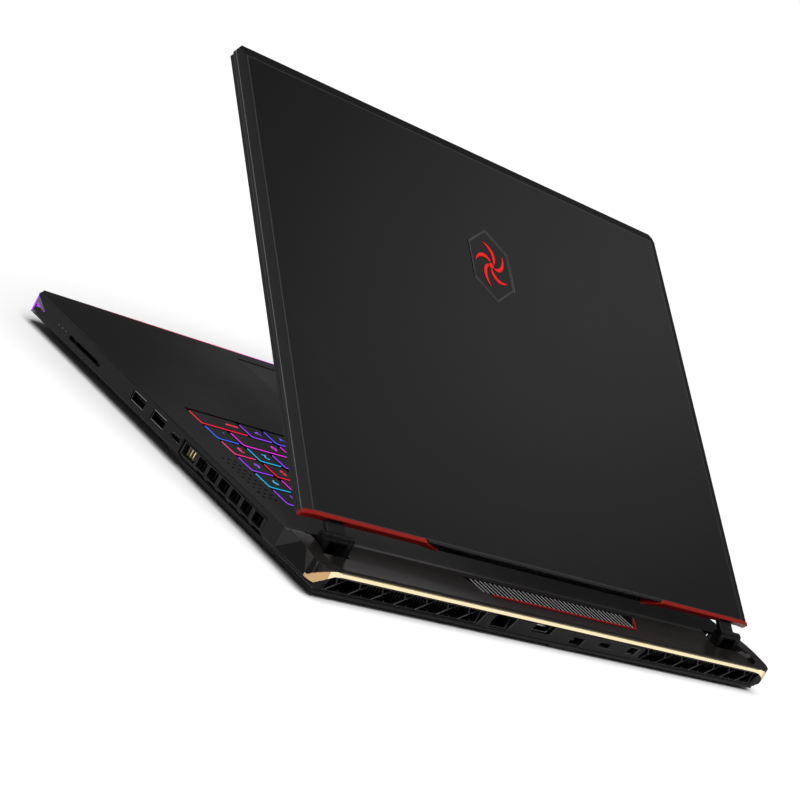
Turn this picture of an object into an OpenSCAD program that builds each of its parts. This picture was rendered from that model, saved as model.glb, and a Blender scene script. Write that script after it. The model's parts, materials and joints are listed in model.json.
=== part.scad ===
// Gaming laptop computer, seventeen-inch class, lid part open.
// Frame: +X to the user's right, +Y to the rear, +Z up.
// The origin is on the table under the middle of the base.

/* [Base] */
// Width of the base
body_w = 380; // [366:1:400]
// Depth of the base from the front edge to the rear trim
body_d = 308; // [300:1:316]
// Height of the palm rest above the table
deck_z = 19; // [18.6:0.1:20]
// Height of the underside above the table at the front
front_lift = 5.4; // [4.8:0.1:6]
// Height of the underside above the table at the rear
rear_lift = 2.4; // [2:0.1:3]
// Depth of the exhaust block behind the seam
block_d = 35; // [34:1:37]
// Cut across the front corners
front_cut = 6; // [3:0.5:9]

/* [Lid] */
// Angle of the lid from closed
lid_open = 38; // [0:1:130]
// Width of the lid
lid_w = 378; // [366:1:380]
// Thickness of the lid
lid_t = 6.6; // [6.4:0.1:7.4]
// Cut across the lid corners
lid_cut = 5.5; // [4:0.5:12]
// Width of the bevel round the lid
lid_bevel = 7; // [5:0.5:9]
// Width of the picture area
screen_w = 367; // [350:1:368]
// Height of the picture area
screen_h = 229.5; // [222:0.5:231]

/* [Hinges] */
// Distance of each hinge from the middle
hinge_x = 166; // [160:1:168]
// Radius of the hinge barrels
barrel_r = 3; // [2.6:0.1:3.2]
// Radius of the hinge pins
pin_r = 1.4; // [1.2:0.1:1.6]

/* [Keyboard] */
// Width of one key unit
key_u = 18.3; // [17.8:0.1:18.4]
// Depth from one row to the next
key_row = 17.4; // [17:0.1:17.6]
// Gap between two keys
key_gap = 2.6; // [2:0.1:3.2]
// Travel of a key
key_travel = 1.6; // [1.2:0.1:1.7]

/* [Cooling] */
// Radius of a fan rotor
fan_r = 27; // [24:1:29]
// Blades on a fan rotor
fan_blades = 23; // [15:2:31]
// Fins in a rear fin stack
rear_fins = 34; // [20:1:40]

/* [Hidden] */
$fn = 48;
eps = 0.01;

front_y = -body_d / 2;
rear_y = body_d / 2;
seam_y = rear_y - block_d;
side_x = body_w / 2;
wall = 2;
deck_t = 1.6;
split_z = 8;
floor_t = 1.6;
floor_z = rear_lift + floor_t;
trim_z = deck_z - 4.4;
trim_h = 2.4;

hinge_y = seam_y + 11;
hinge_z = deck_z + 4.4;
hinge_gap = 0.3;

lid_z = deck_z + 0.6;
lid_top = lid_z + lid_t;
lid_front = front_y - 0.6;
lid_rear = seam_y + 2;
lid_edge = 2.4;
lid_x = lid_w / 2;
bezel_top = lid_z + 2.4;
cover_z = bezel_top + 0.5;
panel_z = lid_z + 0.8;
screen_y = (lid_front + lid_rear) / 2 - 5;

kb_x = 9 * key_u;
kb_front = seam_y - 136;
kb_rear = kb_front + 6 * key_row;
key_z = deck_z - 2;
plate_z = key_z - key_travel - 1.6;

pad_x = -24;
pad_w = 130;
pad_d = 82;
pad_y = front_y + 54;

usb_z = 13.3;
usb_y = [-24, -2];
usb_c_y = 17;
card_y = -85.5;
card_w = 36;
grille_y0 = 25;
grille_first = 14;
grille_y1 = 105;
port_z = 9.6;
vent_x0 = 68;
vent_x1 = 181;
fan_x = 112;
fan_y = 62;
fan_z = 5.2;

// A box between two corners
module box(p, q) {
    translate(p) cube([q[0] - p[0], q[1] - p[1], q[2] - p[2]]);
}

// A [y, z] outline drawn out from x0 to x1
module yz_prism(outline, x0, x1) {
    translate([x0, 0, 0]) rotate([90, 0, 90]) linear_extrude(x1 - x0) polygon(outline);
}

// An [x, z] outline drawn out from y0 to y1
module xz_prism(outline, y0, y1) {
    translate([0, y1, 0]) rotate([90, 0, 0]) linear_extrude(y1 - y0) polygon(outline);
}

// An [x, y] outline drawn up from z0 to z1
module plan_prism(outline, z0, z1) {
    translate([0, 0, z0]) linear_extrude(z1 - z0) polygon(outline);
}

// A post standing on z0
module post(x, y, z0, z1, r) {
    translate([x, y, z0]) cylinder(h = z1 - z0, r = r);
}

// A rod along X
module rod_x(x0, x1, y, z, r) {
    translate([x0, y, z]) rotate([0, 90, 0]) cylinder(h = x1 - x0, r = r);
}

// A rod along Y
module rod_y(x, y0, y1, z, r) {
    translate([x, y1, z]) rotate([90, 0, 0]) cylinder(h = y1 - y0, r = r);
}

// Lid pieces are drawn closed and turned open about the hinge pins
module on_lid() {
    translate([0, hinge_y, hinge_z]) rotate([-lid_open, 0, 0]) translate([0, -hinge_y, -hinge_z])
        children();
}

// The same shape on the user's left
module left() {
    mirror([1, 0, 0]) children();
}

// ---- outlines ----

// Plan of the main body, drawn in by d, with the front corners cut
function body_plan(d) =
    let (x = side_x - d, f = front_y + d, c = front_cut)
    [[-x, f + c], [-x + c, f], [x - c, f], [x, f + c], [x, seam_y], [-x, seam_y]];

// Rounded rear corners, from the right side round to the left, for a rear line r
function rear_corners(d, r) =
    let (c = 7, x = side_x - d - c)
    concat([for (a = [0 : 15 : 90]) [x + c * cos(a), r - c + c * sin(a)]],
        [for (a = [90 : 15 : 180]) [-x + c * cos(a), r - c + c * sin(a)]]);

// Plan of the whole footprint, with the rear corners rounded too
function foot_plan(d) =
    let (x = side_x - d, f = front_y + d, c = front_cut)
    concat([[-x, f + c], [-x + c, f], [x - c, f], [x, f + c]], rear_corners(d, rear_y - 3.4 - d));

// Underside: shallow at the front, deeper behind the side sockets
function under_line(d) =
    [[front_y, front_lift + d], [4, front_lift + d], [14, front_lift - 1.4 + d],
        [30, rear_lift + d], [rear_y, rear_lift + d]];

// Front view of the flanks, drawn in by d: upright, then tucked under towards the table
function flank(d) =
    let (x = side_x - d, z = split_z + 0.4 * d, e = front_lift + 0.6 * d)
    [[-x, 40], [-x, z], [-x + 3.6, e], [-x + 5, rear_lift], [-x + 5, -1],
        [x - 5, -1], [x - 5, rear_lift], [x - 3.6, e], [x, z], [x, 40]];

// Height of the scoop behind the lid
function scoop_z(y) =
    let (t = (y - seam_y - 21) / 17)
    deck_z - 2.6 + 2.32 * t * t;

// Rounded shoulder of the exhaust block at each end
function shoulder_z(y) =
    let (t = (y - seam_y - 4.5) / (block_d - 4.5))
    deck_z + 1.3 - 3 * t * t;

// ---- base shells ----

module side_windows() {
    for (y = usb_y)
        box([side_x - 4, y - 6.8, usb_z - 3], [side_x + 1, y + 6.8, usb_z + 3]);
    usb_c_slot(side_x - 4, side_x + 1, usb_c_y, usb_z - 0.6);
    box([side_x - 6, card_y - card_w / 2, usb_z - 2.4], [side_x + 1, card_y + card_w / 2, usb_z - 0.2]);
    box([side_x - 4, grille_y0 - 1, split_z - 1], [side_x + 1, grille_y1 + 1, 16]);
}

module usb_c_slot(x0, x1, y, z, grow = 0) {
    r = 1.6 + grow;
    for (s = [-1, 1])
        rod_x(x0, x1, y + s * 2.9, z, r);
    box([x0, y - 2.9, z - r], [x1, y + 2.9, z + r]);
}

module left_windows() {
    usb_c_slot(-side_x - 1, -side_x + 4, -14, usb_z - 0.6);
    rod_x(-side_x - 1, -side_x + 4, -34, usb_z - 0.6, 3.2);
    box([-side_x - 1, grille_y0 - 1, split_z - 1], [-side_x + 4, grille_y1 + 1, 16]);
}

module bottom_cover() color("#17181b") {
    // Catch under the middle of the rear edge
    box([-17, rear_y - 12, rear_lift - 1.4], [5, rear_y - 4.4, rear_lift + 0.6]);
    difference() {
        intersection() {
            plan_prism(foot_plan(0), 0, split_z);
            yz_prism(concat(under_line(0), [[rear_y, floor_z], [seam_y, floor_z],
                [seam_y, split_z], [front_y, split_z]]), -side_x, side_x);
            xz_prism(flank(0), front_y, rear_y);
        }
        intersection() {
            plan_prism(body_plan(wall), 0, 12);
            yz_prism(concat(under_line(floor_t), [[rear_y, 12], [front_y, 12]]), -side_x, side_x);
            xz_prism(flank(wall), front_y, rear_y);
        }
        // Air intakes under the fans
        for (s = [-1, 1], i = [-5 : 5])
            box([s * fan_x + i * 5 - 1.1, fan_y - 22 + abs(i), 0],
                [s * fan_x + i * 5 + 1.1, fan_y + 22 - abs(i), floor_z + 1]);
        // Speaker slots at the front corners
        for (s = [-1, 1], i = [0 : 4])
            box([s * 168 - 12, front_y + 22 + i * 4, 0], [s * 168 + 12, front_y + 23.6 + i * 4, 8]);
        // Lower part of the side vents
        for (s = [-1, 1])
            box([s * (side_x - 4) - 5, grille_y0 - 1, 5.4],
                [s * (side_x - 4) + 5, grille_y1 + 1, split_z + 1]);
        for (p = screw_places())
            post(p[0], p[1], 0, 12, 1.3);
    }
}

function screw_places() =
    [for (x = [-170, -60, 60, 170], y = [front_y + 12, -24, seam_y - 8]) [x, y]];

module top_case() color("#1c1d20") {
    difference() {
        plan_prism(body_plan(0), split_z, deck_z);
        difference() {
            plan_prism(body_plan(wall), split_z - 1, deck_z - deck_t);
            // Screw bosses hang from the deck
            for (p = screw_places())
                post(p[0], p[1], split_z - 2, deck_z, 3);
        }
        // Open at the back, where the exhaust block closes it
        box([-side_x + wall, seam_y - wall - 1, split_z - 1],
            [side_x - wall, seam_y + 1, deck_z - deck_t]);
        for (p = screw_places())
            post(p[0], p[1], split_z - 1, deck_z - 4, 1.1);
        // Keyboard well
        box([-kb_x - 0.4, kb_front - 0.4, plate_z - 1], [kb_x + 0.4, kb_rear + 0.4, deck_z + 1]);
        // Touchpad opening
        box([pad_x - pad_w / 2 - 0.4, pad_y - pad_d / 2 - 0.4, 12],
            [pad_x + pad_w / 2 + 0.4, pad_y + pad_d / 2 + 0.4, deck_z + 1]);
        // Speaker holes beside the keyboard
        for (s = [-1, 1], i = [0 : 8], j = [0 : 2])
            post(s * (kb_x + 7 + j * 4.2), 46 + i * 5, 12, deck_z + 1, 0.9);
        side_windows();
        left_windows();
        front_channel(0.1);
    }
}

// Channel across the front edge that holds the light bar
module front_channel(grow) {
    intersection() {
        plan_prism(body_plan(-1), 9 - grow, 15.4 + grow);
        union() {
            box([-side_x, front_y - 1, 8], [side_x, front_y + 1.6, 16]);
            for (s = [-1, 1])
                translate([s * (side_x - 3), front_y + 3, 8])
                    rotate([0, 0, s * 45])
                        translate([-9, -1.6, 0]) cube([18, 3, 8]);
        }
    }
}

module front_light_bar() color("#b01860") {
    intersection() {
        front_channel(0);
        plan_prism(body_plan(0), 8, 16);
    }
}

// Half of the gold trim seen from behind: a straight strip, then a tail down the corner
function trim_face() =
    let (x = side_x, z = trim_z)
    [[-1, z], [x - 16, z], [x - 11, z - 0.5], [x - 7, z - 2.2], [x - 3.8, z - 4.3],
        [x - 1.7, z - 6.5], [x + 1, z - 6.5], [x + 1, z - 4.9], [x, z - 4.9], [x - 0.4, z - 2.9],
        [x - 1.7, z - 1], [x - 3.8, z + 0.6], [x - 7, z + 1.7], [x - 11, z + 2.3],
        [x - 16, z + trim_h], [-1, z + trim_h]];

module trim_solid() {
    intersection() {
        difference() {
            plan_prism(concat([[-side_x, rear_y - 8.6], [side_x, rear_y - 8.6]],
                rear_corners(0, rear_y)), 0, 30);
            plan_prism(concat([[-side_x + 1.6, rear_y - 9], [side_x - 1.6, rear_y - 9]],
                rear_corners(1.6, rear_y - 1.6)), -1, 31);
        }
        for (s = [0, 1])
            mirror([s, 0, 0]) xz_prism(trim_face(), rear_y - 10, rear_y + 1);
    }
}

module rear_trim() color("#d8b57a") {
    trim_solid();
}

module rear_block() color("#191517") {
    n = 12;
    difference() {
        intersection() {
            yz_prism(concat(
                [[seam_y, floor_z], [seam_y, deck_z], [seam_y + 3, deck_z]],
                [for (i = [0 : n]) let (y = seam_y + 4.5 + i * (block_d - 4.5) / n) [y, shoulder_z(y)]],
                [[rear_y, trim_z - 0.6], [rear_y - 3.4, floor_z]]), -side_x, side_x);
            plan_prism(concat([[-side_x, seam_y], [side_x, seam_y]], rear_corners(0, rear_y)),
                0, 30);
            xz_prism(flank(0), seam_y, rear_y);
        }
        // Scoop behind the lid
        intersection() {
            yz_prism(concat(
                [for (i = [0 : 14]) let (y = seam_y + 3 + i * 33 / 14) [y, scoop_z(y)]],
                [[rear_y + 3, deck_z + 8], [seam_y + 3, deck_z + 8]]), -side_x, side_x);
            plan_prism([[-173, seam_y + 2], [173, seam_y + 2], [181, rear_y - 12],
                [179, rear_y - 6], [172, rear_y - 2.4], [-172, rear_y - 2.4],
                [-179, rear_y - 6], [-181, rear_y - 12]], 0, 40);
        }
        // Inside, open to the main body
        intersection() {
            box([-side_x, seam_y - 1, floor_z - 1], [side_x, rear_y - 5.4, trim_z - 0.8]);
            xz_prism(flank(wall), seam_y - 2, rear_y);
        }
        // Rear vents
        for (s = [0, 1])
            mirror([s, 0, 0])
                box([vent_x0, rear_y - 12, floor_z + 0.5], [vent_x1 - 0.6, rear_y + 1, 13.8]);
        rear_port_windows();
        // Pockets for the hinges
        for (s = [-1, 1])
            box([s * hinge_x - 11, seam_y - 1, floor_z],
                [s * hinge_x + 11, hinge_y + barrel_r + 1, deck_z + 8]);
        rib_recess(0);
        accent_solid();
        trim_solid();
    }
}

// Recess for the ribbed insert in the middle of the scoop
module rib_recess(d) {
    plan_prism([[-82 + d, seam_y + 5 + d], [66 - d, seam_y + 5 + d],
        [50 - d, seam_y + 17 - d], [-72 + d, seam_y + 17 - d]], trim_z - 0.1, deck_z + 3);
}

module rear_ribs() color("#3a3c40") {
    intersection() {
        rib_recess(0.4);
        union() {
            box([-86, seam_y, trim_z], [80, seam_y + 25, trim_z + 0.8]);
            for (i = [0 : 30])
                translate([-61 + i * 3.9, seam_y + 11, trim_z])
                    rotate([0, 0, 19]) translate([-0.6, -12, 0]) cube([1.2, 24, 1.7]);
        }
    }
}

// Thin line along two sides of the ribbed insert
module accent_solid() {
    z = scoop_z(seam_y + 18);
    box([-73.6, seam_y + 17.2, z - 0.5], [50, seam_y + 18.2, z + 0.3]);
    plan_prism([[-82.4, seam_y + 7], [-81.3, seam_y + 7], [-72.5, seam_y + 17.3],
        [-73.6, seam_y + 17.3]], z - 0.5, z + 0.3);
}

module rear_accent() color("#b3202c") {
    accent_solid();
}

module rear_port_windows() {
    y0 = rear_y - 12;
    y1 = rear_y + 1;
    box([44, y0, 5], [60, y1, 13.6]);
    box([12.2, y0, port_z - 1.3], [27.8, y1, port_z + 4.2]);
    box([-16.4, y0, 4.6], [-6.4, y1, 10.6]);
    translate([-34, 0, 0]) rotate([0, 0, 90]) usb_c_slot(y0, y1, 0, port_z);
    box([-62.8, y0, port_z - 2.6], [-55.2, y1, port_z + 2.6]);
}

// Slanted ribs and short struts in a frame, across a rear vent
module rear_grille() {
    x0 = vent_x0 + 0.4;
    x1 = vent_x1 - 1;
    y0 = rear_y - 5.8;
    y1 = rear_y - 3.4;
    z0 = floor_z + 0.8;
    z1 = 13.5;
    n = 7;
    step = (x1 - x0) / n;
    box([x0, y0, z0], [x1, y1, z0 + 0.7]);
    box([x0, y0, z1 - 0.7], [x1, y1, z1]);
    for (x = [x0, x1 - 1])
        box([x, y0, z0], [x + 1, y1, z1]);
    intersection() {
        box([x0, y0, z0], [x1, y1, z1]);
        for (i = [0 : n - 1])
            translate([x0 + (i + 0.5) * step, y0, (z0 + z1) / 2]) {
                rotate([0, 34, 0]) translate([-12, 0, -0.4]) cube([24, y1 - y0, 0.8]);
                rotate([0, -64, 0]) translate([-0.2, 0, -0.4]) cube([12, y1 - y0, 0.8]);
                rotate([0, -48, 0]) translate([-12, 0, -0.4]) cube([8.2, y1 - y0, 0.8]);
            }
    }
}

module rear_grille_right() color("#111214") {
    rear_grille();
}

module rear_grille_left() color("#111214") {
    left() translate([vent_x0 + vent_x1 - 0.6, 0, 0]) mirror([1, 0, 0]) rear_grille();
}

// Upper cells and lower slots of a side vent
module side_grille() {
    x0 = side_x - 3.2;
    x1 = side_x - 0.4;
    low = [[x0 - 4, 5.7], [x0 - 0.8, 5.7], [x1, 8.6], [x1, 15.6], [x0, 15.6], [x0, 8.4]];
    n = 6;
    y0 = grille_y0 + grille_first;
    step = (grille_y1 - y0) / n;
    difference() {
        xz_prism(low, grille_y0, grille_y1);
        box([x0 - 1, grille_y0 + 1.2, 8.8], [x1 + 1, y0 - 0.8, 14.8]);
        for (i = [0 : n - 1]) {
            box([x0 - 1, y0 + i * step + 1.3, 9.2], [x1 + 1, y0 + (i + 1) * step - 1.3, 14.8]);
            box([x0 - 5, y0 + i * step + 1.3, 6.3], [x1 + 1, y0 + (i + 1) * step - 1.3, 8]);
        }
    }
}

module side_grille_right() color("#141518") {
    side_grille();
}

module side_grille_left() color("#141518") {
    left() side_grille();
}

// ---- inside the base ----

module keyboard_plate() color("#1b1c22") {
    difference() {
        box([-kb_x, kb_front, plate_z], [kb_x, kb_rear, plate_z + 1.2]);
        for (x = [-120, -40, 40, 120], y = [kb_front + 3, kb_rear - 3])
            post(x, y, plate_z - 1, plate_z + 2, 0.8);
    }
}

module motherboard() color("#0f4a34") {
    difference() {
        union() {
            box([-78, 32, floor_z + 1.2], [78, seam_y + 16, floor_z + 2.4]);
            for (x = [-34, 34])
                box([x - 16, 56, floor_z + 2.4], [x + 16, 84, floor_z + 4]);
            for (x = [-74, 74], y = [38, seam_y - 2])
                post(x, y, floor_z, floor_z + 1.2, 2);
        }
        for (x = [-74, 74], y = [38, seam_y - 2])
            post(x, y, 0, 20, 0.9);
        // Clear of the case's screw bosses
        for (x = [-60, 60])
            post(x, seam_y - 8, 0, 20, 3.4);
    }
}

module heat_pipes() color("#b4713f") {
    z = floor_z + 5;
    for (x = [-34, 34])
        box([x - 18, 54, floor_z + 4], [x + 18, 86, z]);
    for (y = [58, 65, 72, 79])
        rod_x(-70, 70, y, z + 1.4, 2);
    for (s = [-1, 1])
        rod_y(s * 66, 55, seam_y + 8, z + 1.4, 2.2);
    for (s = [0, 1])
        mirror([s, 0, 0])
            rod_x(63, 150, seam_y + 8, z + 1.4, 2.2);
}

module fin_stack() {
    x0 = vent_x0 + 11;
    w = 74;
    pitch = w / rear_fins;
    for (i = [0 : rear_fins - 1])
        box([x0 + i * pitch, seam_y + 11, floor_z + 0.4],
            [x0 + i * pitch + 0.6, rear_y - 9, trim_z - 1.4]);
    box([x0, seam_y + 11, floor_z + 0.3], [x0 + w - pitch + 0.6, rear_y - 9, floor_z + 0.9]);
    for (i = [0 : 27]) {
        box([side_x - 14, 27 + i * 2.7, floor_z + 1.6], [side_x - 8, 27.7 + i * 2.7, 13.4]);
        box([side_x - 9, 27 + i * 2.7, 8.8], [side_x - 3.6, 27.7 + i * 2.7, 13.4]);
    }
    box([side_x - 14, 27, floor_z + 1.5], [side_x - 8, 27.7 + 27 * 2.7, floor_z + 2.1]);
}

module fin_stack_right() color("#c89a5a") {
    fin_stack();
}

module fin_stack_left() color("#c89a5a") {
    left() fin_stack();
}

module fan_housing() {
    r = fan_r + 3;
    difference() {
        union() {
            post(fan_x, fan_y, floor_z + 0.4, plate_z - 0.5, r + 1);
            box([fan_x - r - 1, fan_y, floor_z + 0.4], [fan_x + r + 1, seam_y + 6, plate_z - 0.5]);
            box([fan_x, fan_y - 20, floor_z + 0.4], [side_x - 16, fan_y + 20, plate_z - 0.5]);
        }
        post(fan_x, fan_y, floor_z + 1.2, plate_z - 1.1, r);
        box([fan_x - r, fan_y, floor_z + 1.2], [fan_x + r, seam_y + 7, plate_z - 1.1]);
        box([fan_x, fan_y - 19, floor_z + 1.2], [side_x - 15, fan_y + 19, plate_z - 1.1]);
        post(fan_x, fan_y, floor_z - 1, floor_z + 2, fan_r - 6);
        box([fan_x - 80, seam_y + 4, floor_z + 6], [fan_x + 80, seam_y + 13, plate_z]);
    }
    // Spider and spindle under the rotor
    difference() {
        union() {
            for (a = [0, 60, 120])
                translate([fan_x, fan_y, floor_z + 0.4])
                    rotate([0, 0, a]) translate([-fan_r, -1.5, 0]) cube([2 * fan_r, 3, 0.8]);
            post(fan_x, fan_y, floor_z + 0.4, floor_z + 1.2, 9);
        }
        post(fan_x, fan_y, floor_z - 1, floor_z + 3, 0.8);
    }
    post(fan_x, fan_y, floor_z + 0.4, floor_z + 5, 1);
}

module fan_rotor() {
    z0 = floor_z + 1.7;
    z1 = plate_z - 1.7;
    difference() {
        union() {
            post(fan_x, fan_y, z0, z1, 10);
            for (i = [0 : fan_blades - 1])
                translate([fan_x, fan_y, z0]) rotate([0, 0, (i + 0.25) * 360 / fan_blades])
                    translate([9, -0.4, 0.4]) cube([fan_r - 9, 0.8, z1 - z0 - 0.8]);
        }
        post(fan_x, fan_y, z0 - 1, floor_z + 5.4, 1.05);
    }
}

module fan_housing_right() color("#202124") {
    fan_housing();
}

module fan_housing_left() color("#202124") {
    left() fan_housing();
}

module fan_rotor_right() color("#2a2b2f") {
    fan_rotor();
}

module fan_rotor_left() color("#2a2b2f") {
    left() fan_rotor();
}

module battery() color("#26282c") {
    z = front_lift + floor_t + 0.4;
    for (i = [-2 : 1])
        box([i * 68 + 0.6, front_y + 20, z], [(i + 1) * 68 - 0.6, front_y + 92, z + 6.4]);
    box([-136, front_y + 16, z], [136, front_y + 20, z + 4]);
    box([-135, front_y + 19, z + 1], [135, front_y + 91, z + 2]);
}

module memory_modules() color("#14563c") {
    for (i = [0, 1])
        box([-34, 17, floor_z + 3 + i * 3], [34, 48, floor_z + 4.2 + i * 3]);
    box([-36, 46, floor_z + 2.4], [36, 53, floor_z + 7.8]);
}

module storage_drive() color("#1d5f8a") {
    box([40, 17, floor_z + 4.2], [62, 50, floor_z + 5.2]);
    box([41, 20, floor_z + 5.2], [61, 42, floor_z + 6.4]);
    box([40, 47, floor_z + 2.4], [62, 53, floor_z + 4.2]);
}

module wireless_card() color("#2b6b53") {
    box([-64, 19, floor_z + 4.2], [-42, 49, floor_z + 5]);
    box([-63, 22, floor_z + 5], [-43, 40, floor_z + 6.4]);
    box([-64, 47, floor_z + 2.4], [-42, 52, floor_z + 4.2]);
}

module speaker() {
    z = front_lift + floor_t + 0.4;
    difference() {
        box([150, front_y + 18, z], [184, front_y + 45, z + 7]);
        box([151.5, front_y + 19.5, z + 1.2], [182.5, front_y + 43.5, z + 5.6]);
        box([158, front_y + 23, z - 1], [178, front_y + 39, z + 2]);
    }
    // Cone in its frame
    difference() {
        box([156.5, front_y + 21.5, z + 1.2], [179.5, front_y + 40.5, z + 2.4]);
        box([160, front_y + 25, z - 1], [176, front_y + 37, z + 1.8]);
    }
}

module speaker_right() color("#1f2023") {
    speaker();
}

module speaker_left() color("#1f2023") {
    left() speaker();
}

// ---- sockets ----

// Shell of a wide socket with a tongue, opening towards +X
module usb_a_socket(y) {
    x0 = side_x - 16;
    x1 = side_x - 0.6;
    difference() {
        box([x0, y - 6.6, usb_z - 2.85], [x1, y + 6.6, usb_z + 2.85]);
        box([x0 + 1.4, y - 6.15, usb_z - 2.4], [x1 + 1, y + 6.15, usb_z + 2.4]);
    }
    box([x0 + 1, y - 5.5, usb_z + 0.2], [x1 - 1.6, y + 5.5, usb_z + 2.1]);
}

module usb_a_sockets() color("#8b1f2a") {
    for (y = usb_y)
        usb_a_socket(y);
}

// Shell of a small oval socket with a thin tongue, opening towards +X
module usb_c_socket(x1, y, z) {
    difference() {
        usb_c_slot(x1 - 8, x1, y, z, -0.1);
        usb_c_slot(x1 - 7, x1 + 1, y, z, -0.35);
    }
    box([x1 - 7.4, y - 2.9, z - 0.35], [x1 - 1, y + 2.9, z + 0.35]);
}

module usb_c_sockets() color("#b8bcc2") {
    usb_c_socket(side_x - 0.5, usb_c_y, usb_z - 0.6);
    left() usb_c_socket(side_x - 0.5, -14, usb_z - 0.6);
    translate([-34, 0, 0]) rotate([0, 0, 90]) usb_c_socket(rear_y - 3.4, 0, port_z);
}

module card_reader() color("#303236") {
    z = usb_z - 1.3;
    difference() {
        box([side_x - 32, card_y - card_w / 2 + 0.4, z - 1.9],
            [side_x - 2.2, card_y + card_w / 2 - 0.4, z + 1.9]);
        box([side_x - 31, card_y - 12.2, z - 1], [side_x - 2, card_y + 12.2, z + 1]);
    }
}

module network_socket() color("#2c2e32") {
    y1 = rear_y - 3.6;
    difference() {
        box([44.4, y1 - 14, 5.4], [59.6, y1, 13.3]);
        box([46.1, y1 - 12.5, 6], [57.9, y1 + 1, 12.7]);
    }
    for (i = [0 : 7])
        box([47.6 + i * 1.2, y1 - 12.6, 11.8], [48.1 + i * 1.2, y1 - 3, 12.8]);
}

module hdmi_socket() color("#a9adb3") {
    z = port_z + 1.4;
    shell = [[-7.4, 2.6], [7.4, 2.6], [7.4, -0.4], [5.4, -2.4], [-5.4, -2.4], [-7.4, -0.4]];
    hollow = [[-7, 2.2], [7, 2.2], [7, -0.3], [5.2, -2], [-5.2, -2], [-7, -0.3]];
    translate([20, 0, z]) {
        difference() {
            xz_prism(shell, rear_y - 14, rear_y - 3.4);
            xz_prism(hollow, rear_y - 13, rear_y + 1);
        }
        box([-5.6, rear_y - 13.4, 0.1], [5.6, rear_y - 5, 1.1]);
    }
}

module display_socket() color("#a9adb3") {
    translate([-59, 0, port_z]) {
        difference() {
            box([-3.7, rear_y - 13, -2.5], [3.7, rear_y - 3.4, 2.5]);
            box([-3.35, rear_y - 12, -2.15], [3.35, rear_y + 1, 2.15]);
        }
        box([-2.6, rear_y - 12.4, -0.4], [2.6, rear_y - 5, 0.6]);
    }
}

module power_inlet() color("#1a1b1e") {
    translate([-11.4, 0, 7.6]) {
        difference() {
            box([-4.8, rear_y - 16, -2.8], [4.8, rear_y - 3.9, 2.8]);
            box([-4.1, rear_y - 14.6, -2.1], [4.1, rear_y + 1, 2.1]);
        }
        rod_y(0, rear_y - 15.2, rear_y - 5, 0, 0.8);
    }
}

module audio_jack() color("#26272b") {
    x0 = -side_x + 0.6;
    z = usb_z - 0.6;
    difference() {
        union() {
            rod_x(x0, x0 + 3, -34, z, 3.1);
            box([x0 + 2.4, -37.2, z - 3.1], [x0 + 15, -30.8, z + 3.1]);
        }
        rod_x(x0 - 1, x0 + 14, -34, z, 1.8);
    }
}

// ---- hinges ----

module hinge_base() {
    x = hinge_x;
    w = barrel_r * 2 + 1;
    difference() {
        union() {
            for (s = [-1, 1]) {
                rod_x(x + s * 8.15 - 1.85, x + s * 8.15 + 1.85, hinge_y, hinge_z, barrel_r);
                box([x + s * 8.15 - 1.85, hinge_y - barrel_r, floor_z + 3],
                    [x + s * 8.15 + 1.85, hinge_y + barrel_r, hinge_z]);
            }
            box([x - 10, hinge_y - barrel_r, floor_z + 0.2], [x + 10, hinge_y + barrel_r, floor_z + 4]);
        }
        rod_x(x - 12, x + 12, hinge_y, hinge_z, pin_r + 0.05);
        rod_x(x - 6.3, x + 6.3, hinge_y, hinge_z, barrel_r + 0.4);
        rod_y(x, 0, 10, floor_z, 0.1);
    }
}

// Arm on the lid: barrel and pin, and a leaf into the lid
module hinge_arm() {
    x = hinge_x;
    on_lid() {
        rod_x(x - 6, x + 6, hinge_y, hinge_z, barrel_r);
        rod_x(x - 9.6, x + 9.6, hinge_y, hinge_z, pin_r);
        box([x - 6, lid_rear - 1, hinge_z - 1.8], [x + 6, hinge_y, hinge_z + 0.9]);
        box([x - 6, lid_rear - 22, bezel_top + 1.2], [x + 6, lid_rear - 0.6, hinge_z + 0.9]);
    }
}

module hinge_base_right() color("#3c3e42") {
    hinge_base();
}

module hinge_base_left() color("#3c3e42") {
    left() hinge_base();
}

module hinge_arm_right() color("#141416") {
    hinge_arm();
}

module hinge_arm_left() color("#141416") {
    left() hinge_arm();
}

// ---- underside ----

module rubber_feet() color("#101012") {
    for (s = [-1, 1])
        box([s * 128 - 26, front_y + 7, 0], [s * 128 + 26, front_y + 15, front_lift]);
    box([-150, seam_y + 6, 0], [150, seam_y + 16, rear_lift]);
}

module bottom_screws() color("#2f3135") {
    for (p = screw_places()) {
        z = p[1] < 0 ? front_lift : rear_lift;
        difference() {
            post(p[0], p[1], z - 0.9, z, 2.3);
            translate([p[0], p[1], z - 1]) rotate([0, 0, 30]) cylinder(h = 0.6, r = 1, $fn = 6);
        }
        post(p[0], p[1], z - 0.1, split_z + 3, 1.05);
    }
}

// ---- moving pieces of the deck ----

module touchpad() color("#1a1b1e") {
    box([pad_x - pad_w / 2, pad_y - pad_d / 2, deck_z - 1.5],
        [pad_x + pad_w / 2, pad_y + pad_d / 2, deck_z - 0.3]);
}

// One key cap: skirt and dished-in top
module key(x0, x1, row) {
    y0 = kb_front + row * key_row;
    g = key_gap / 2;
    box([x0 + g, y0 + g, key_z], [x1 - g, y0 + key_row - g, key_z + 1.2]);
    box([x0 + g + 0.7, y0 + g + 0.7, key_z], [x1 - g - 0.7, y0 + key_row - g - 0.7, deck_z]);
}

// Where each key of a row starts, from its widths in units
function starts(w) =
    [for (i = 0, s = 0; i < len(w); s = s + w[i], i = i + 1) s];

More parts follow.
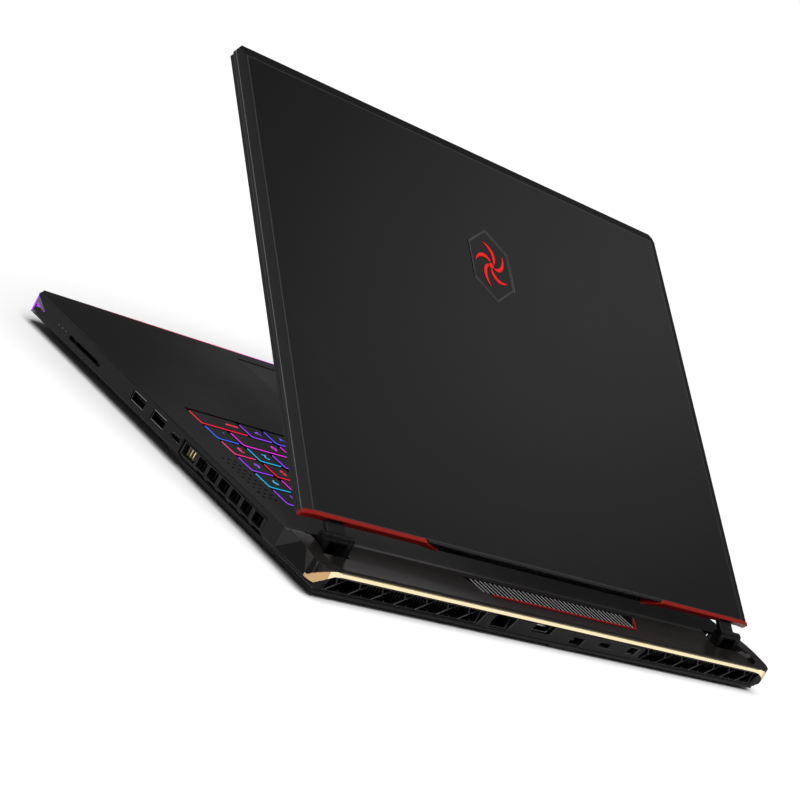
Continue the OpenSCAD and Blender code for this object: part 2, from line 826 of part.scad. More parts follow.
// Keys from first to last of a row with the widths w
module key_run(w, row, first = 0, last = undef) {
    s = starts(w);
    n = is_undef(last) ? len(w) - 1 : last;
    for (i = [first : n])
        key(-kb_x + s[i] * key_u, -kb_x + (s[i] + w[i]) * key_u, row);
}

function ones(n) = [for (i = [1 : n]) 1];

row_mod = concat([1.25, 1, 1, 1.25, 5.25, 1, 1, 1.25], ones(3), [2]);
row_low = concat([2.25], ones(10), [1.75], [1], [2, 1]);
row_home = concat([1.75], ones(11), [2.25], ones(3));
row_up = concat([1.5], ones(12), [1.5], ones(3));
row_num = concat(ones(13), [2], ones(3));
row_fun = ones(18);

module keys_modifier_row() color("#202228") {
    key_run(row_mod, 0, 0, 3);
    key_run(row_mod, 0, 5, 7);
}

module key_space() color("#202228") {
    key_run(row_mod, 0, 4, 4);
}

module keys_arrows() color("#202228") {
    key_run(row_mod, 0, 8, 10);
    key_run(row_low, 1, 12, 12);
}

module keys_lower_row() color("#202228") {
    key_run(row_low, 1, 0, 11);
}

module keys_home_row() color("#202228") {
    key_run(row_home, 2, 0, 12);
}

module keys_upper_row() color("#202228") {
    key_run(row_up, 3, 0, 13);
}

module keys_number_row() color("#202228") {
    key_run(row_num, 4, 0, 13);
}

module keys_numpad() color("#202228") {
    key_run(row_mod, 0, 11, 11);
    key_run(row_low, 1, 13, 14);
    key_run(row_home, 2, 13, 15);
    key_run(row_up, 3, 14, 16);
    key_run(row_num, 4, 14, 16);
}

module keys_function_row() color("#202228") {
    key_run(row_fun, 5, 0, 16);
}

module key_power() color("#202228") {
    key_run(row_fun, 5, 17, 17);
}

// ---- lid ----

// Plan of the lid, drawn in by d, up to the rear line r
function lid_plan(d, r) =
    let (x = lid_x - d, f = lid_front + d, c = lid_cut)
    [[-x, f + c], [-x + c, f], [x - c, f], [x, f + c], [x, r], [-x, r]];

module lid_cover() color("#191a1c") {
    b = lid_bevel;
    h = 1.4;
    r = lid_rear - lid_edge;
    on_lid() {
        difference() {
            intersection() {
                plan_prism(lid_plan(0, r), cover_z, lid_top);
                xz_prism([[-lid_x, cover_z], [lid_x, cover_z], [lid_x, lid_top - h],
                    [lid_x - b, lid_top], [-lid_x + b, lid_top], [-lid_x, lid_top - h]],
                    lid_front, lid_rear);
                yz_prism([[lid_front, cover_z], [r, cover_z], [r, lid_top],
                    [lid_front + b, lid_top], [lid_front, lid_top - h]], -lid_x, lid_x);
            }
            plan_prism(lid_plan(2, r - 1.6), cover_z - 1, lid_top - 1.5);
            // Ways out for the hinge arms
            for (s = [-1, 1])
                box([s * hinge_x - 6.4, r - 3, cover_z - 1],
                    [s * hinge_x + 6.4, r + 1, lid_top - 1.5]);
            emblem_plate(0.2, lid_top - 0.8, lid_top + 1);
        }
    }
}

// A plain six-sided plate on the lid's centre line
module emblem_plate(grow, z0, z1) {
    translate([0, (lid_front + lid_rear) / 2 - 56, z0])
        linear_extrude(z1 - z0)
            polygon([for (a = [30 : 60 : 330]) (20.5 + grow) * [cos(a), sin(a) * 1.22]]);
}

module lid_emblem() color("#0c0c0e") {
    on_lid() emblem_plate(0, lid_top - 0.8, lid_top + 0.3);
}

// Red trim on the lid's rear edge, with a thin tail towards the middle
module lid_trim() {
    on_lid()
        xz_prism([[lid_x, lid_z + 1.6], [lid_x, lid_top - 1], [lid_x - 6, lid_top],
            [102, lid_top], [88, lid_z + 1], [87, lid_z + 0.4], [91, lid_z + 0.4],
            [104, lid_z + 2.6], [lid_x - 8, lid_z + 2.6]],
            lid_rear - lid_edge, lid_rear);
}

module lid_trim_right() color("#b3202c") {
    difference() {
        lid_trim();
        on_lid() box([hinge_x - 6.4, lid_rear - 4, lid_z - 1], [hinge_x + 6.4, lid_rear + 1, hinge_z + 1.7]);
    }
}

module lid_trim_left() color("#b3202c") {
    left() lid_trim_right();
}

module lid_rear_bar() color("#101012") {
    on_lid() {
        box([-86, lid_rear - lid_edge, lid_z + 0.4], [86, lid_rear - 1.2, lid_top - 1.6]);
        box([-100, lid_rear - lid_edge, lid_top - 1], [100, lid_rear - 0.8, lid_top]);
        box([-86, lid_rear - lid_edge, lid_top - 2], [86, lid_rear - lid_edge + 0.8, lid_top - 0.5]);
    }
}

module display_bezel() color("#141416") {
    r = lid_rear - lid_edge;
    on_lid()
        difference() {
            union() {
                plan_prism(lid_plan(0.6, r), lid_z, bezel_top);
                // Locating rib inside the cover
                difference() {
                    plan_prism(lid_plan(2.4, r - 2), bezel_top - 0.4, bezel_top + 1.4);
                    plan_prism(lid_plan(3.6, r - 3.2), bezel_top - 1, bezel_top + 2);
                }
            }
            box([-screen_w / 2 - 0.8, screen_y - screen_h / 2 - 0.8, lid_z - 1],
                [screen_w / 2 + 0.8, screen_y + screen_h / 2 + 0.8, bezel_top + 2]);
            box([-lid_x + 4.2, screen_y - screen_h / 2 - 3.6, panel_z],
                [lid_x - 4.2, screen_y + screen_h / 2 + 5, bezel_top + 2]);
            for (s = [-1, 1])
                box([s * hinge_x - 6.4, r - 26, bezel_top - 1.2],
                    [s * hinge_x + 6.4, r + 1, bezel_top + 3]);
            box([-34, lid_front + 6.2, panel_z], [34, lid_front + 12, bezel_top + 2]);
            post(0, lid_front + 9, lid_z - 1, lid_z + 3, 1.7);
        }
}

module display_panel() color("#08090b") {
    on_lid()
        box([-lid_x + 4.6, screen_y - screen_h / 2 - 3.2, panel_z],
            [lid_x - 4.6, screen_y + screen_h / 2 + 4.6, panel_z + 2.4]);
}

module webcam_module() color("#0d2f22") {
    on_lid() {
        box([-33, lid_front + 6.6, panel_z], [33, lid_front + 11.4, panel_z + 1]);
        post(0, lid_front + 9, lid_z + 0.2, panel_z + 2.6, 1.6);
    }
}

module bezel_bumpers() color("#1d1d20") {
    on_lid()
        for (x = [-150, -50, 50, 150])
            box([x - 5, lid_front + 3.2, lid_z - 0.3], [x + 5, lid_front + 5.2, lid_z]);
}

bottom_cover();
top_case();
rear_block();
rear_trim();
rear_ribs();
rear_accent();
rear_grille_right();
rear_grille_left();
side_grille_right();
side_grille_left();
front_light_bar();
keyboard_plate();
motherboard();
heat_pipes();
fin_stack_right();
fin_stack_left();
fan_housing_right();
fan_housing_left();
fan_rotor_right();
fan_rotor_left();
battery();
memory_modules();
storage_drive();
wireless_card();
speaker_right();
speaker_left();
usb_a_sockets();
usb_c_sockets();
card_reader();
network_socket();
hdmi_socket();
display_socket();
power_inlet();
audio_jack();
hinge_base_right();
hinge_base_left();
rubber_feet();
bottom_screws();
touchpad();
keys_function_row();
key_power();
keys_number_row();
keys_upper_row();
keys_home_row();
keys_lower_row();
keys_modifier_row();
key_space();
keys_arrows();
keys_numpad();
lid_cover();
lid_emblem();
lid_trim_right();
lid_trim_left();
lid_rear_bar();
display_bezel();
display_panel();
webcam_module();
bezel_bumpers();
hinge_arm_right();
hinge_arm_left();
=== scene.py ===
"""Visual model of an open seventeen-inch gaming laptop computer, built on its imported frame."""

import json
import logging
import math
from contextlib import contextmanager
from dataclasses import dataclass, field, replace
from enum import Enum
from typing import Callable, Iterator, Sequence

import bpy
from mathutils import Matrix, Vector


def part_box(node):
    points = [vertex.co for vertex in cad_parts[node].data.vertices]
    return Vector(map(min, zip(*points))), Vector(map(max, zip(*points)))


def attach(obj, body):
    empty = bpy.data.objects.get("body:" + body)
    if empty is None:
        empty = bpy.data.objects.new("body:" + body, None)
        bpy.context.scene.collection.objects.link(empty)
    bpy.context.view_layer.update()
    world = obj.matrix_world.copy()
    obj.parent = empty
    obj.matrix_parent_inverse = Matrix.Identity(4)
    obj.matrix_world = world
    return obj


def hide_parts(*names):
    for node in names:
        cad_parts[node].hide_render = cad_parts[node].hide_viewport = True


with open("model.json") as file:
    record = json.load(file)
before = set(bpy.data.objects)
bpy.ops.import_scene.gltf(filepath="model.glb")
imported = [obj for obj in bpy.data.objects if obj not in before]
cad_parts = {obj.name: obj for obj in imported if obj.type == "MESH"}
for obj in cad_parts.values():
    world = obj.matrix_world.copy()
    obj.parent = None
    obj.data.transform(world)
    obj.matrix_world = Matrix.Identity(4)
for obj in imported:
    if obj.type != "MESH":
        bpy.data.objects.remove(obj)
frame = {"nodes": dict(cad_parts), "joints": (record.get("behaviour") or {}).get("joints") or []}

log = logging.getLogger("laptop")

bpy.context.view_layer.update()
MM = 0.001
PICTURE_SIDE = 800.0
SIDES = ("right", "left")
FACING = 0.9
SQUARE = 0.95

Point = tuple[float, float, float]
Colour = tuple[float, float, float]
Test = Callable[[Vector, Vector], bool]


# ---- sizes taken from the frame ----

def low(node: str) -> Vector:
    """Lowest corner of a node at rest, in millimetres."""
    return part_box(node)[0] / MM


def high(node: str) -> Vector:
    """Highest corner of a node at rest, in millimetres."""
    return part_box(node)[1] / MM


def hinge_line() -> Vector:
    """A point on the lid's hinge line, in millimetres."""
    for joint in frame["joints"]:
        if joint["name"] == "lid_hinge":
            return Vector(joint["pos_m"]) / MM
    raise LookupError("the frame has no lid_hinge")


HINGE = hinge_line()
LID_OPEN = math.radians(38)
DECK_Z = high("top_case").z
FRONT_Y = low("top_case").y
SEAM_Y = high("top_case").y
REAR_Y = high("rear_block").y
SIDE_X = high("top_case").x


# ---- bench tools: small wrappers round the modelling operators ----

def pick(*objects: bpy.types.Object) -> None:
    """Selects these objects alone, the first one active; with none, leaves nothing selected."""
    if bpy.context.object and bpy.context.object.mode != "OBJECT":
        bpy.ops.object.mode_set(mode="OBJECT")
    bpy.ops.object.select_all(action="DESELECT")
    for obj in objects:
        obj.select_set(True)
    if objects:
        bpy.context.view_layer.objects.active = objects[0]


def placed(name: str, data: bpy.types.ID) -> bpy.types.Object:
    """A new object in the scene that holds the data."""
    obj = bpy.data.objects.new(name, data)
    bpy.context.scene.collection.objects.link(obj)
    return obj


def any_face(normal: Vector, centre: Vector) -> bool:
    """The test that every face passes."""
    return True


def facing(axis: int, least: float = FACING) -> Test:
    """A test for faces that point along +X, +Y or +Z (axis 0, 1 or 2)."""
    return lambda n, c: n[axis] > least


@contextmanager
def faces_of(obj: bpy.types.Object, test: Test = any_face) -> Iterator[None]:
    """Edit mode with the faces that pass the test selected.

    Args:
        obj: the mesh object to edit.
        test: takes a face's normal and centre (millimetres) and says if it is selected.
    """
    pick(obj)
    mesh = obj.data
    for group in (mesh.vertices, mesh.edges, mesh.polygons):
        group.foreach_set("select", [False] * len(group))
    chosen = [f for f in mesh.polygons if test(f.normal, f.center / MM)]
    for f in chosen:
        f.select = True
        for v in f.vertices:
            mesh.vertices[v].select = True
    pairs = {tuple(sorted(k)) for f in chosen for k in f.edge_keys}
    for e in mesh.edges:
        e.select = tuple(sorted(e.vertices)) in pairs
    bpy.context.tool_settings.mesh_select_mode = (False, False, True)
    bpy.ops.object.mode_set(mode="EDIT")
    yield
    bpy.ops.object.mode_set(mode="OBJECT")


def settled(name: str) -> bpy.types.Object:
    """Names the object just added and applies its place and size."""
    obj = bpy.context.object
    obj.name = obj.data.name = name
    bpy.ops.object.transform_apply(location=True, rotation=True, scale=True)
    return obj


def block(name: str, corner: Point, opposite: Point) -> bpy.types.Object:
    """A block between two corners in millimetres, ready to be shaped."""
    a, b = Vector(corner), Vector(opposite)
    pick()
    bpy.ops.mesh.primitive_cube_add(size=MM, location=(a + b) / 2 * MM)
    bpy.context.object.scale = b - a
    return settled(name)


def disc(name: str, centre: Point, radius: float, height: float, sides: int) -> bpy.types.Object:
    """An upright drum on a centre point in millimetres, ready to be shaped."""
    pick()
    bpy.ops.mesh.primitive_cylinder_add(vertices=sides, radius=radius * MM, depth=height * MM,
                                        location=Vector(centre) * MM)
    return settled(name)


def inset(obj: bpy.types.Object, test: Test, width: float, sink: float = 0.0) -> None:
    """Insets the chosen faces by width and moves the inner ones down by sink, in millimetres."""
    with faces_of(obj, test):
        bpy.ops.mesh.inset(thickness=width * MM, depth=-sink * MM, use_even_offset=True)


def push(obj: bpy.types.Object, test: Test, move: Point) -> None:
    """Extrudes the chosen faces along move, in millimetres."""
    with faces_of(obj, test):
        bpy.ops.mesh.extrude_region_move(
            TRANSFORM_OT_translate={"value": Vector(move) * MM})


def squeeze(obj: bpy.types.Object, test: Test, scale: Point) -> None:
    """Scales the chosen faces about their middle."""
    with faces_of(obj, test):
        bpy.ops.transform.resize(value=scale)


def ease(obj: bpy.types.Object, width: float, segments: int = 2, angle: float = 32.0,
         where: Callable[[Vector], bool] | None = None, shortest: float = 0.0,
         finish_slot: int = -1) -> None:
    """Rounds the sharp edges with a bevel.

    Args:
        obj: the piece.
        width: bevel width in millimetres.
        segments: facets across the bevel.
        angle: edges flatter than this many degrees are left alone.
        where: if given, only edges whose middle (millimetres) passes are rounded.
        shortest: edges shorter than this, in millimetres, are left alone.
        finish_slot: material slot of the new faces, or -1 for their neighbours'.
    """
    mesh = obj.data
    normals: dict[tuple[int, int], list[Vector]] = {}
    for f in mesh.polygons:
        for k in f.edge_keys:
            normals.setdefault(tuple(sorted(k)), []).append(f.normal.copy())
    weight = mesh.attributes.get("bevel_weight_edge") or mesh.attributes.new(
        "bevel_weight_edge", "FLOAT", "EDGE")
    for e in mesh.edges:
        sides = normals.get(tuple(sorted(e.vertices)), [])
        p, q = (mesh.vertices[v].co / MM for v in e.vertices)
        sharp = len(sides) == 2 and sides[0].angle(sides[1], 0) > math.radians(angle)
        keep = sharp and (p - q).length >= shortest and (where is None or where((p + q) / 2))
        weight.data[e.index].value = 1.0 if keep else 0.0
    pick(obj)
    mod = obj.modifiers.new("ease", "BEVEL")
    mod.width = width * MM
    mod.segments = segments
    mod.limit_method = "WEIGHT"
    mod.material = finish_slot
    mod.use_clamp_overlap = False
    mod.miter_outer = "MITER_ARC"
    bpy.ops.object.modifier_apply(modifier=mod.name)


def smooth(obj: bpy.types.Object, angle: float = 34.0) -> None:
    """Shades smooth below the angle, with flat faces kept flat."""
    pick(obj)
    bpy.ops.object.shade_smooth_by_angle(angle=math.radians(angle))
    mod = obj.modifiers.new("flats", "WEIGHTED_NORMAL")
    mod.keep_sharp = True
    bpy.ops.object.modifier_apply(modifier=mod.name)


def joined(name: str, parts: Sequence[bpy.types.Object]) -> bpy.types.Object:
    """Joins the parts into one piece with this name."""
    pick(*parts)
    if len(parts) > 1:
        bpy.ops.object.join()
    obj = bpy.context.object
    obj.name = obj.data.name = name
    return obj


def copy_of(obj: bpy.types.Object, name: str, move: Point = (0, 0, 0),
            flip_x: bool = False) -> bpy.types.Object:
    """A copy with its own mesh, moved in millimetres, or mirrored to the other side."""
    twin = placed(name, obj.data.copy())
    if flip_x:
        pick(twin)
        twin.scale.x = -1
        bpy.ops.object.transform_apply(location=False, rotation=False, scale=True)
        with faces_of(twin):
            bpy.ops.mesh.normals_make_consistent(inside=False)
    twin.data.transform(Matrix.Translation(Vector(move) * MM))
    return twin


def traced(node: str, name: str, pierced: bool = False) -> bpy.types.Object:
    """A copy of a CAD node's mesh, its loose triangles merged into clean faces.

    Args:
        node: the CAD node.
        name: the new piece's name.
        pierced: keeps the triangles of faces with many holes, which can't be one face.

    Returns:
        The copy, with no finish yet.
    """
    obj = placed(name, frame["nodes"][node].data.copy())
    obj.data.name = name
    obj.data.materials.clear()
    with faces_of(obj):
        bpy.ops.mesh.remove_doubles(threshold=0.004 * MM)
        if pierced:
            bpy.ops.mesh.tris_convert_to_quads(face_threshold=math.radians(0.5),
                                               shape_threshold=math.radians(180))
        else:
            bpy.ops.mesh.dissolve_limited(angle_limit=math.radians(0.6))
    return obj


def lid_turn(opening: float, unit: float = 1.0) -> Matrix:
    """The turn that opens the lid by an angle, for points in millimetres times unit."""
    spot = HINGE * unit
    return (Matrix.Translation(spot) @ Matrix.Rotation(-opening, 4, "X")
            @ Matrix.Translation(-spot))


def off_lid(point: Vector) -> Vector:
    """Where a point of the open lid, in millimetres, is when the lid is closed."""
    return lid_turn(-LID_OPEN) @ point


# ---- finishes ----

class Slot(Enum):
    """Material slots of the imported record."""

    CASE = "case_black"
    BLOCK = "block_satin"
    GOLD = "trim_gold"
    RIB = "rib_grey"
    RED = "accent_red"
    GRILLE = "grille_black"
    LIGHT = "light_bar"
    PLATE = "key_plate"
    CAP = "key_cap"
    BOARD = "board"
    DRIVE = "drive"
    COPPER = "copper"
    FINS = "fins"
    FAN = "fan_black"
    WRAP = "battery_wrap"
    PORT_METAL = "port_metal"
    PORT_BLACK = "port_black"
    RUBBER = "rubber"
    SCREW = "screw_steel"
    PAD = "pad"
    LID = "lid_metal"
    EMBLEM = "emblem"
    LID_GLOSS = "lid_gloss"
    BEZEL = "bezel"
    SCREEN = "screen"


class Sheet:
    """A node tree under construction, with short calls for nodes and wires."""

    def __init__(self, tree: bpy.types.NodeTree) -> None:
        """Keeps the tree that nodes are added to."""
        self.tree = tree

    def node(self, kind: str, settings: dict | None = None, **values: object) -> bpy.types.Node:
        """Adds a node.

        Args:
            kind: the node's type name.
            settings: properties of the node itself.
            values: input values, or sockets to wire in; underscores stand for spaces.

        Returns:
            The new node.
        """
        made = self.tree.nodes.new(kind)
        for key, value in (settings or {}).items():
            setattr(made, key, value)
        for key, value in values.items():
            self.feed(made, key.replace("_", " "), value)
        return made

    def feed(self, target: bpy.types.Node, name: str, value: object) -> None:
        """Sets an input, named or numbered (i0, i1, ...), to a value or a socket."""
        place = target.inputs[int(name[1:])] if name[0] == "i" and name[1:].isdigit() \
            else target.inputs[name]
        if isinstance(value, bpy.types.NodeSocket):
            self.tree.links.new(value, place)
        else:
            place.default_value = value

    def maths(self, operation: str, a: object, b: object, c: float = 0.0,
              clamp: bool = False) -> bpy.types.NodeSocket:
        """A Math node's output."""
        return self.node("ShaderNodeMath", {"operation": operation, "use_clamp": clamp},
                         i0=a, i1=b, i2=c).outputs[0]

    def place(self) -> bpy.types.NodeSocket:
        """The place on the object."""
        return self.node("ShaderNodeTexCoord").outputs["Object"]

    def noise(self, where: bpy.types.NodeSocket, scale: object, detail: float,
              roughness: float = 0.5, distortion: float = 0.0) -> bpy.types.NodeSocket:
        """A Noise node's value."""
        return self.node("ShaderNodeTexNoise", Vector=where, Scale=scale, Detail=detail,
                         Roughness=roughness, Distortion=distortion).outputs[0]

    def spread(self, value: object, start: float, end: float) -> bpy.types.NodeSocket:
        """The value stretched from 0 at start to 1 at end."""
        return self.node("ShaderNodeMapRange", Value=value, From_Min=start,
                         From_Max=end).outputs[0]

    def group(self, tree: bpy.types.NodeTree, **values: object) -> bpy.types.Node:
        """A node group's node."""
        return self.node("ShaderNodeGroup", {"node_tree": tree}, **values)

    def blend(self, amount: object, a: object, b: object,
              way: str = "MIX") -> bpy.types.NodeSocket:
        """A colour mixed from a to b."""
        made = self.node("ShaderNodeMix", {"data_type": "RGBA", "blend_type": way})
        self.feed(made, "i0", amount)
        self.feed(made, "i6", a)
        self.feed(made, "i7", b)
        return made.outputs[2]


def new_group(name: str, inputs: dict[str, float], outputs: dict[str, str]
              ) -> tuple[bpy.types.NodeTree, Sheet, bpy.types.Node, bpy.types.Node]:
    """Starts a shader node group.

    Args:
        name: the group's name.
        inputs: float inputs and their defaults.
        outputs: output names and socket types.

    Returns:
        The tree, a sheet on it, and its input and output nodes.
    """
    tree = bpy.data.node_groups.new(name, "ShaderNodeTree")
    for label, value in inputs.items():
        tree.interface.new_socket(label, in_out="INPUT",
                                  socket_type="NodeSocketFloat").default_value = value
    for label, kind in outputs.items():
        tree.interface.new_socket(label, in_out="OUTPUT", socket_type=kind)
    sheet = Sheet(tree)
    return tree, sheet, sheet.node("NodeGroupInput"), sheet.node("NodeGroupOutput")


class Effects:
    """Surface effects that several finishes share, each one a node group."""

    def __init__(self) -> None:
        """Builds every group once."""
        self.grain = self._grain()
        self.brush = self._brush()
        self.wear = self._wear()
        self.dust = self._dust()

    def _grain(self) -> bpy.types.NodeTree:
        """Fine moulded or blasted grain: a height and a slow tone."""
        tree, s, given, out = new_group(
            "Moulded grain", {"Scale": 3000.0, "Tone scale": 14.0},
            {"Height": "NodeSocketFloat", "Tone": "NodeSocketFloat"})
        where = s.place()
        fine = s.noise(where, given.outputs["Scale"], 2.0, 0.6)
        pits = s.node("ShaderNodeTexVoronoi", {"feature": "F1"}, Vector=where,
                      Scale=given.outputs["Scale"])
        slow = s.noise(where, given.outputs["Tone scale"], 4.0, 0.55)
        mixed = s.maths("ADD", fine, s.maths("MULTIPLY", pits.outputs[0], 0.5))
        s.feed(out, "Height", mixed)
        s.feed(out, "Tone", slow)
        return tree

    def _brush(self) -> bpy.types.NodeTree:
        """Drawn metal: long fine lines along X, Y or Z, by how each axis is stretched."""
        tree, s, given, out = new_group(
            "Drawn lines", {"X": 10.0, "Y": 2500.0, "Z": 2500.0},
            {"Height": "NodeSocketFloat"})
        stretch = s.node("ShaderNodeCombineXYZ", X=given.outputs["X"], Y=given.outputs["Y"],
                         Z=given.outputs["Z"]).outputs[0]
        pulled = s.node("ShaderNodeVectorMath", {"operation": "MULTIPLY"}, i0=s.place(),
                        i1=stretch)
        s.feed(out, "Height", s.noise(pulled.outputs[0], 1.0, 3.0))
        return tree

    def _wear(self) -> bpy.types.NodeTree:
        """Handling wear: broken patches and hairline scratches, as one mask."""
        tree, s, given, out = new_group(
            "Handling wear", {"Amount": 0.3, "Scale": 30.0}, {"Mask": "NodeSocketFloat"})
        where = s.place()
        patchy = s.spread(s.noise(where, given.outputs["Scale"], 6.0, 0.7, 0.4), 0.56, 0.78)
        stretch = s.node("ShaderNodeMapping", Vector=where, Rotation=(0.0, 0.0, 0.5),
                         Scale=(40.0, 900.0, 900.0))
        hairs = s.spread(s.noise(stretch.outputs[0], 1.0, 1.0), 0.69, 0.74)
        both = s.maths("ADD", patchy, s.maths("MULTIPLY", hairs, 0.35))
        s.feed(out, "Mask", s.maths("MULTIPLY", both, given.outputs["Amount"], clamp=True))
        return tree

    def _dust(self) -> bpy.types.NodeTree:
        """Settled dust on what faces up, as one mask."""
        tree, s, given, out = new_group(
            "Settled dust", {"Amount": 0.1}, {"Mask": "NodeSocketFloat"})
        where = s.node("ShaderNodeTexCoord")
        up = s.node("ShaderNodeSeparateXYZ", Vector=where.outputs["Normal"]).outputs[2]
        spotted = s.spread(s.noise(where.outputs["Object"], 900.0, 3.0, 0.8), 0.5, 0.85)
        mask = s.maths("MULTIPLY", s.spread(up, 0.3, 1.0), spotted)
        s.feed(out, "Mask", s.maths("MULTIPLY", mask, given.outputs["Amount"], clamp=True))
        return tree


EFFECTS = Effects()


@dataclass(frozen=True)
class Finish:
    """One finish: its colours and how its surface is worked."""

    label: str
    slot: Slot
    colour: Colour
    worn: Colour = (0.05, 0.05, 0.052)
    tone: float = 0.25
    roughness: float = 0.5
    vary: float = 0.08
    metallic: float = 0.0
    specular: float = 0.3
    grain: float = 3000.0
    depth: float = 0.012
    drawn: Point | None = None
    wear: float = 0.15
    wear_scale: float = 30.0
    dust: float = 0.0
    coat: float = 0.0
    coat_roughness: float = 0.2
    glow: float = 0.0
    glow_colour: Colour = (1.0, 1.0, 1.0)
    glow_painted: bool = False

    def material(self) -> bpy.types.Material:
        """The finish as a material, made on first use."""
        made = bpy.data.materials.get(self.label)
        return made if made else self._mixed()

    def _mixed(self) -> bpy.types.Material:
        """Wires the shared effects into one shader."""
        made = bpy.data.materials.new(self.label)
        made.use_nodes = True
        made.diffuse_color = (*self.colour, 1.0)
        made.node_tree.nodes.clear()
        s = Sheet(made.node_tree)
        grain = s.group(EFFECTS.grain, Scale=self.grain)
        wear = s.group(EFFECTS.wear, Amount=self.wear, Scale=self.wear_scale)
        darker = tuple(c * (1 - self.tone) for c in self.colour)
        lighter = tuple(c * (1 + self.tone) for c in self.colour)
        base = s.blend(grain.outputs["Tone"], (*darker, 1.0), (*lighter, 1.0))
        base = s.blend(wear.outputs["Mask"], base, (*self.worn, 1.0))
        rough = s.maths("MULTIPLY_ADD", grain.outputs["Tone"], 2 * self.vary,
                        self.roughness - self.vary)
        rough = s.maths("ADD", rough, s.maths("MULTIPLY", wear.outputs["Mask"], 0.12), clamp=True)
        if self.dust:
            dust = s.group(EFFECTS.dust, Amount=self.dust)
            base = s.blend(dust.outputs["Mask"], base, (0.22, 0.215, 0.2, 1.0))
            rough = s.maths("ADD", rough, dust.outputs["Mask"], clamp=True)
        height = grain.outputs["Height"]
        if self.drawn:
            lines = s.group(EFFECTS.brush, **dict(zip("XYZ", self.drawn)))
            height = s.maths("ADD", s.maths("MULTIPLY", height, 0.4), lines.outputs["Height"])
        bump = s.node("ShaderNodeBump", Strength=1.0, Distance=self.depth * MM, Height=height)
        shader = s.node("ShaderNodeBsdfPrincipled", Base_Color=base, Roughness=rough,
                        Normal=bump.outputs[0], Metallic=self.metallic,
                        Specular_IOR_Level=self.specular, Coat_Weight=self.coat,
                        Coat_Roughness=self.coat_roughness)
        if self.glow:
            lit: object = (*self.glow_colour, 1.0)
            if self.glow_painted:
                lit = s.node("ShaderNodeAttribute", {"attribute_name": "glow"}).outputs["Color"]
            uneven = s.blend(grain.outputs["Tone"], (0.8, 0.8, 0.8, 1.0), (1.0, 1.0, 1.0, 1.0))
            s.feed(shader, "Emission Color", s.blend(1.0, lit, uneven, "MULTIPLY"))
            shader.inputs["Emission Strength"].default_value = self.glow
        out = s.node("ShaderNodeOutputMaterial")
        made.node_tree.links.new(shader.outputs[0], out.inputs[0])
        return made


DRAWN_LONG = (12.0, 2500.0, 2500.0)
DRAWN_ACROSS = (2500.0, 30.0, 30.0)
DRAWN_ROUND = (900.0, 30.0, 900.0)

DECK = Finish("Deck matte black", Slot.CASE, (0.0060, 0.0060, 0.0063), roughness=0.44,
              specular=0.13, dust=0.02, wear=0.06, grain=2600.0, depth=0.01)
CASE = Finish("Case moulded black", Slot.CASE, (0.0060, 0.0060, 0.0062), roughness=0.46,
              specular=0.12, grain=2200.0, depth=0.016, wear=0.08)
# Lighter finish for eased edges: part handling wear, part painted highlight.
CASE_EDGE_WEAR_AND_HIGHLIGHT = Finish("Case edge wear and painted highlight", Slot.CASE, (0.019, 0.019, 0.0195), roughness=0.34,
                   specular=0.3, grain=2200.0, depth=0.006, wear=0.30, wear_scale=60.0)
LID = Finish("Lid blasted metal", Slot.LID, (0.0042, 0.0042, 0.0043), roughness=0.32,
             specular=0.17, grain=5200.0, depth=0.004, wear=0.05, wear_scale=12.0, tone=0.08,
             vary=0.02)
# Lighter finish for the lid's eased edges: a ground edge with a painted highlight.
LID_EDGE_AND_HIGHLIGHT = Finish("Lid ground edge and painted highlight", Slot.LID, (0.034, 0.034, 0.035), roughness=0.3,
                  metallic=0.2, specular=0.3, grain=5200.0, depth=0.003, wear=0.2,
                  wear_scale=60.0)
LID_RIM = Finish("Lid gloss rim", Slot.LID_GLOSS, (0.006, 0.006, 0.0063), roughness=0.24,
                 specular=0.2, grain=3600.0, depth=0.003, wear=0.08)
BEZEL = Finish("Bezel moulded black", Slot.BEZEL, (0.008, 0.008, 0.0085),
               specular=0.2, grain=2400.0, wear=0.06)
BLOCK = Finish("Block satin brown black", Slot.BLOCK, (0.0075, 0.0060, 0.0057), roughness=0.32,
               specular=0.17, depth=0.006, wear=0.08, vary=0.03, tone=0.12, coat=0.05,
               coat_roughness=0.25)
REAR_PANEL = Finish("Rear panel matte", Slot.BLOCK, (0.0045, 0.0045, 0.0047),
                    specular=0.06, grain=2200.0, depth=0.016, wear=0.06)
# Lighter finish for the block's eased edges: handling wear with a painted highlight line.
BLOCK_EDGE_WEAR_AND_HIGHLIGHT = Finish("Block edge wear and painted highlight", Slot.BLOCK, (0.018, 0.016, 0.0155), roughness=0.26,
                    depth=0.004, wear=0.25, wear_scale=60.0)
GOLD = Finish("Trim gold satin", Slot.GOLD, (0.98, 0.84, 0.52), worn=(1.0, 0.93, 0.74),
              roughness=0.30, metallic=0.85, specular=0.5, drawn=DRAWN_LONG,
              depth=0.006, tone=0.06, wear=0.25, wear_scale=50.0, vary=0.05)
# A darker, browner copy of the gold for the trim's ends: painted shade.
GOLD_TAIL_SHADE = replace(GOLD, label="Trim gold tail painted shade", colour=(0.66, 0.42, 0.20),
                    worn=(0.85, 0.66, 0.4), roughness=0.36, tone=0.14)
RED = Finish("Accent red lacquer", Slot.RED, (0.20, 0.008, 0.005), worn=(0.34, 0.02, 0.014),
             roughness=0.34, specular=0.10, coat=0.02,
             drawn=(14.0, 2600.0, 2600.0), depth=0.004, tone=0.18, wear=0.2)
RIB = Finish("Rib brushed silver", Slot.RIB, (0.86, 0.86, 0.87), worn=(0.95, 0.95, 0.95),
             roughness=0.34, metallic=0.9, drawn=(600.0, 600.0, 2600.0), depth=0.006,
             tone=0.15, wear=0.2)
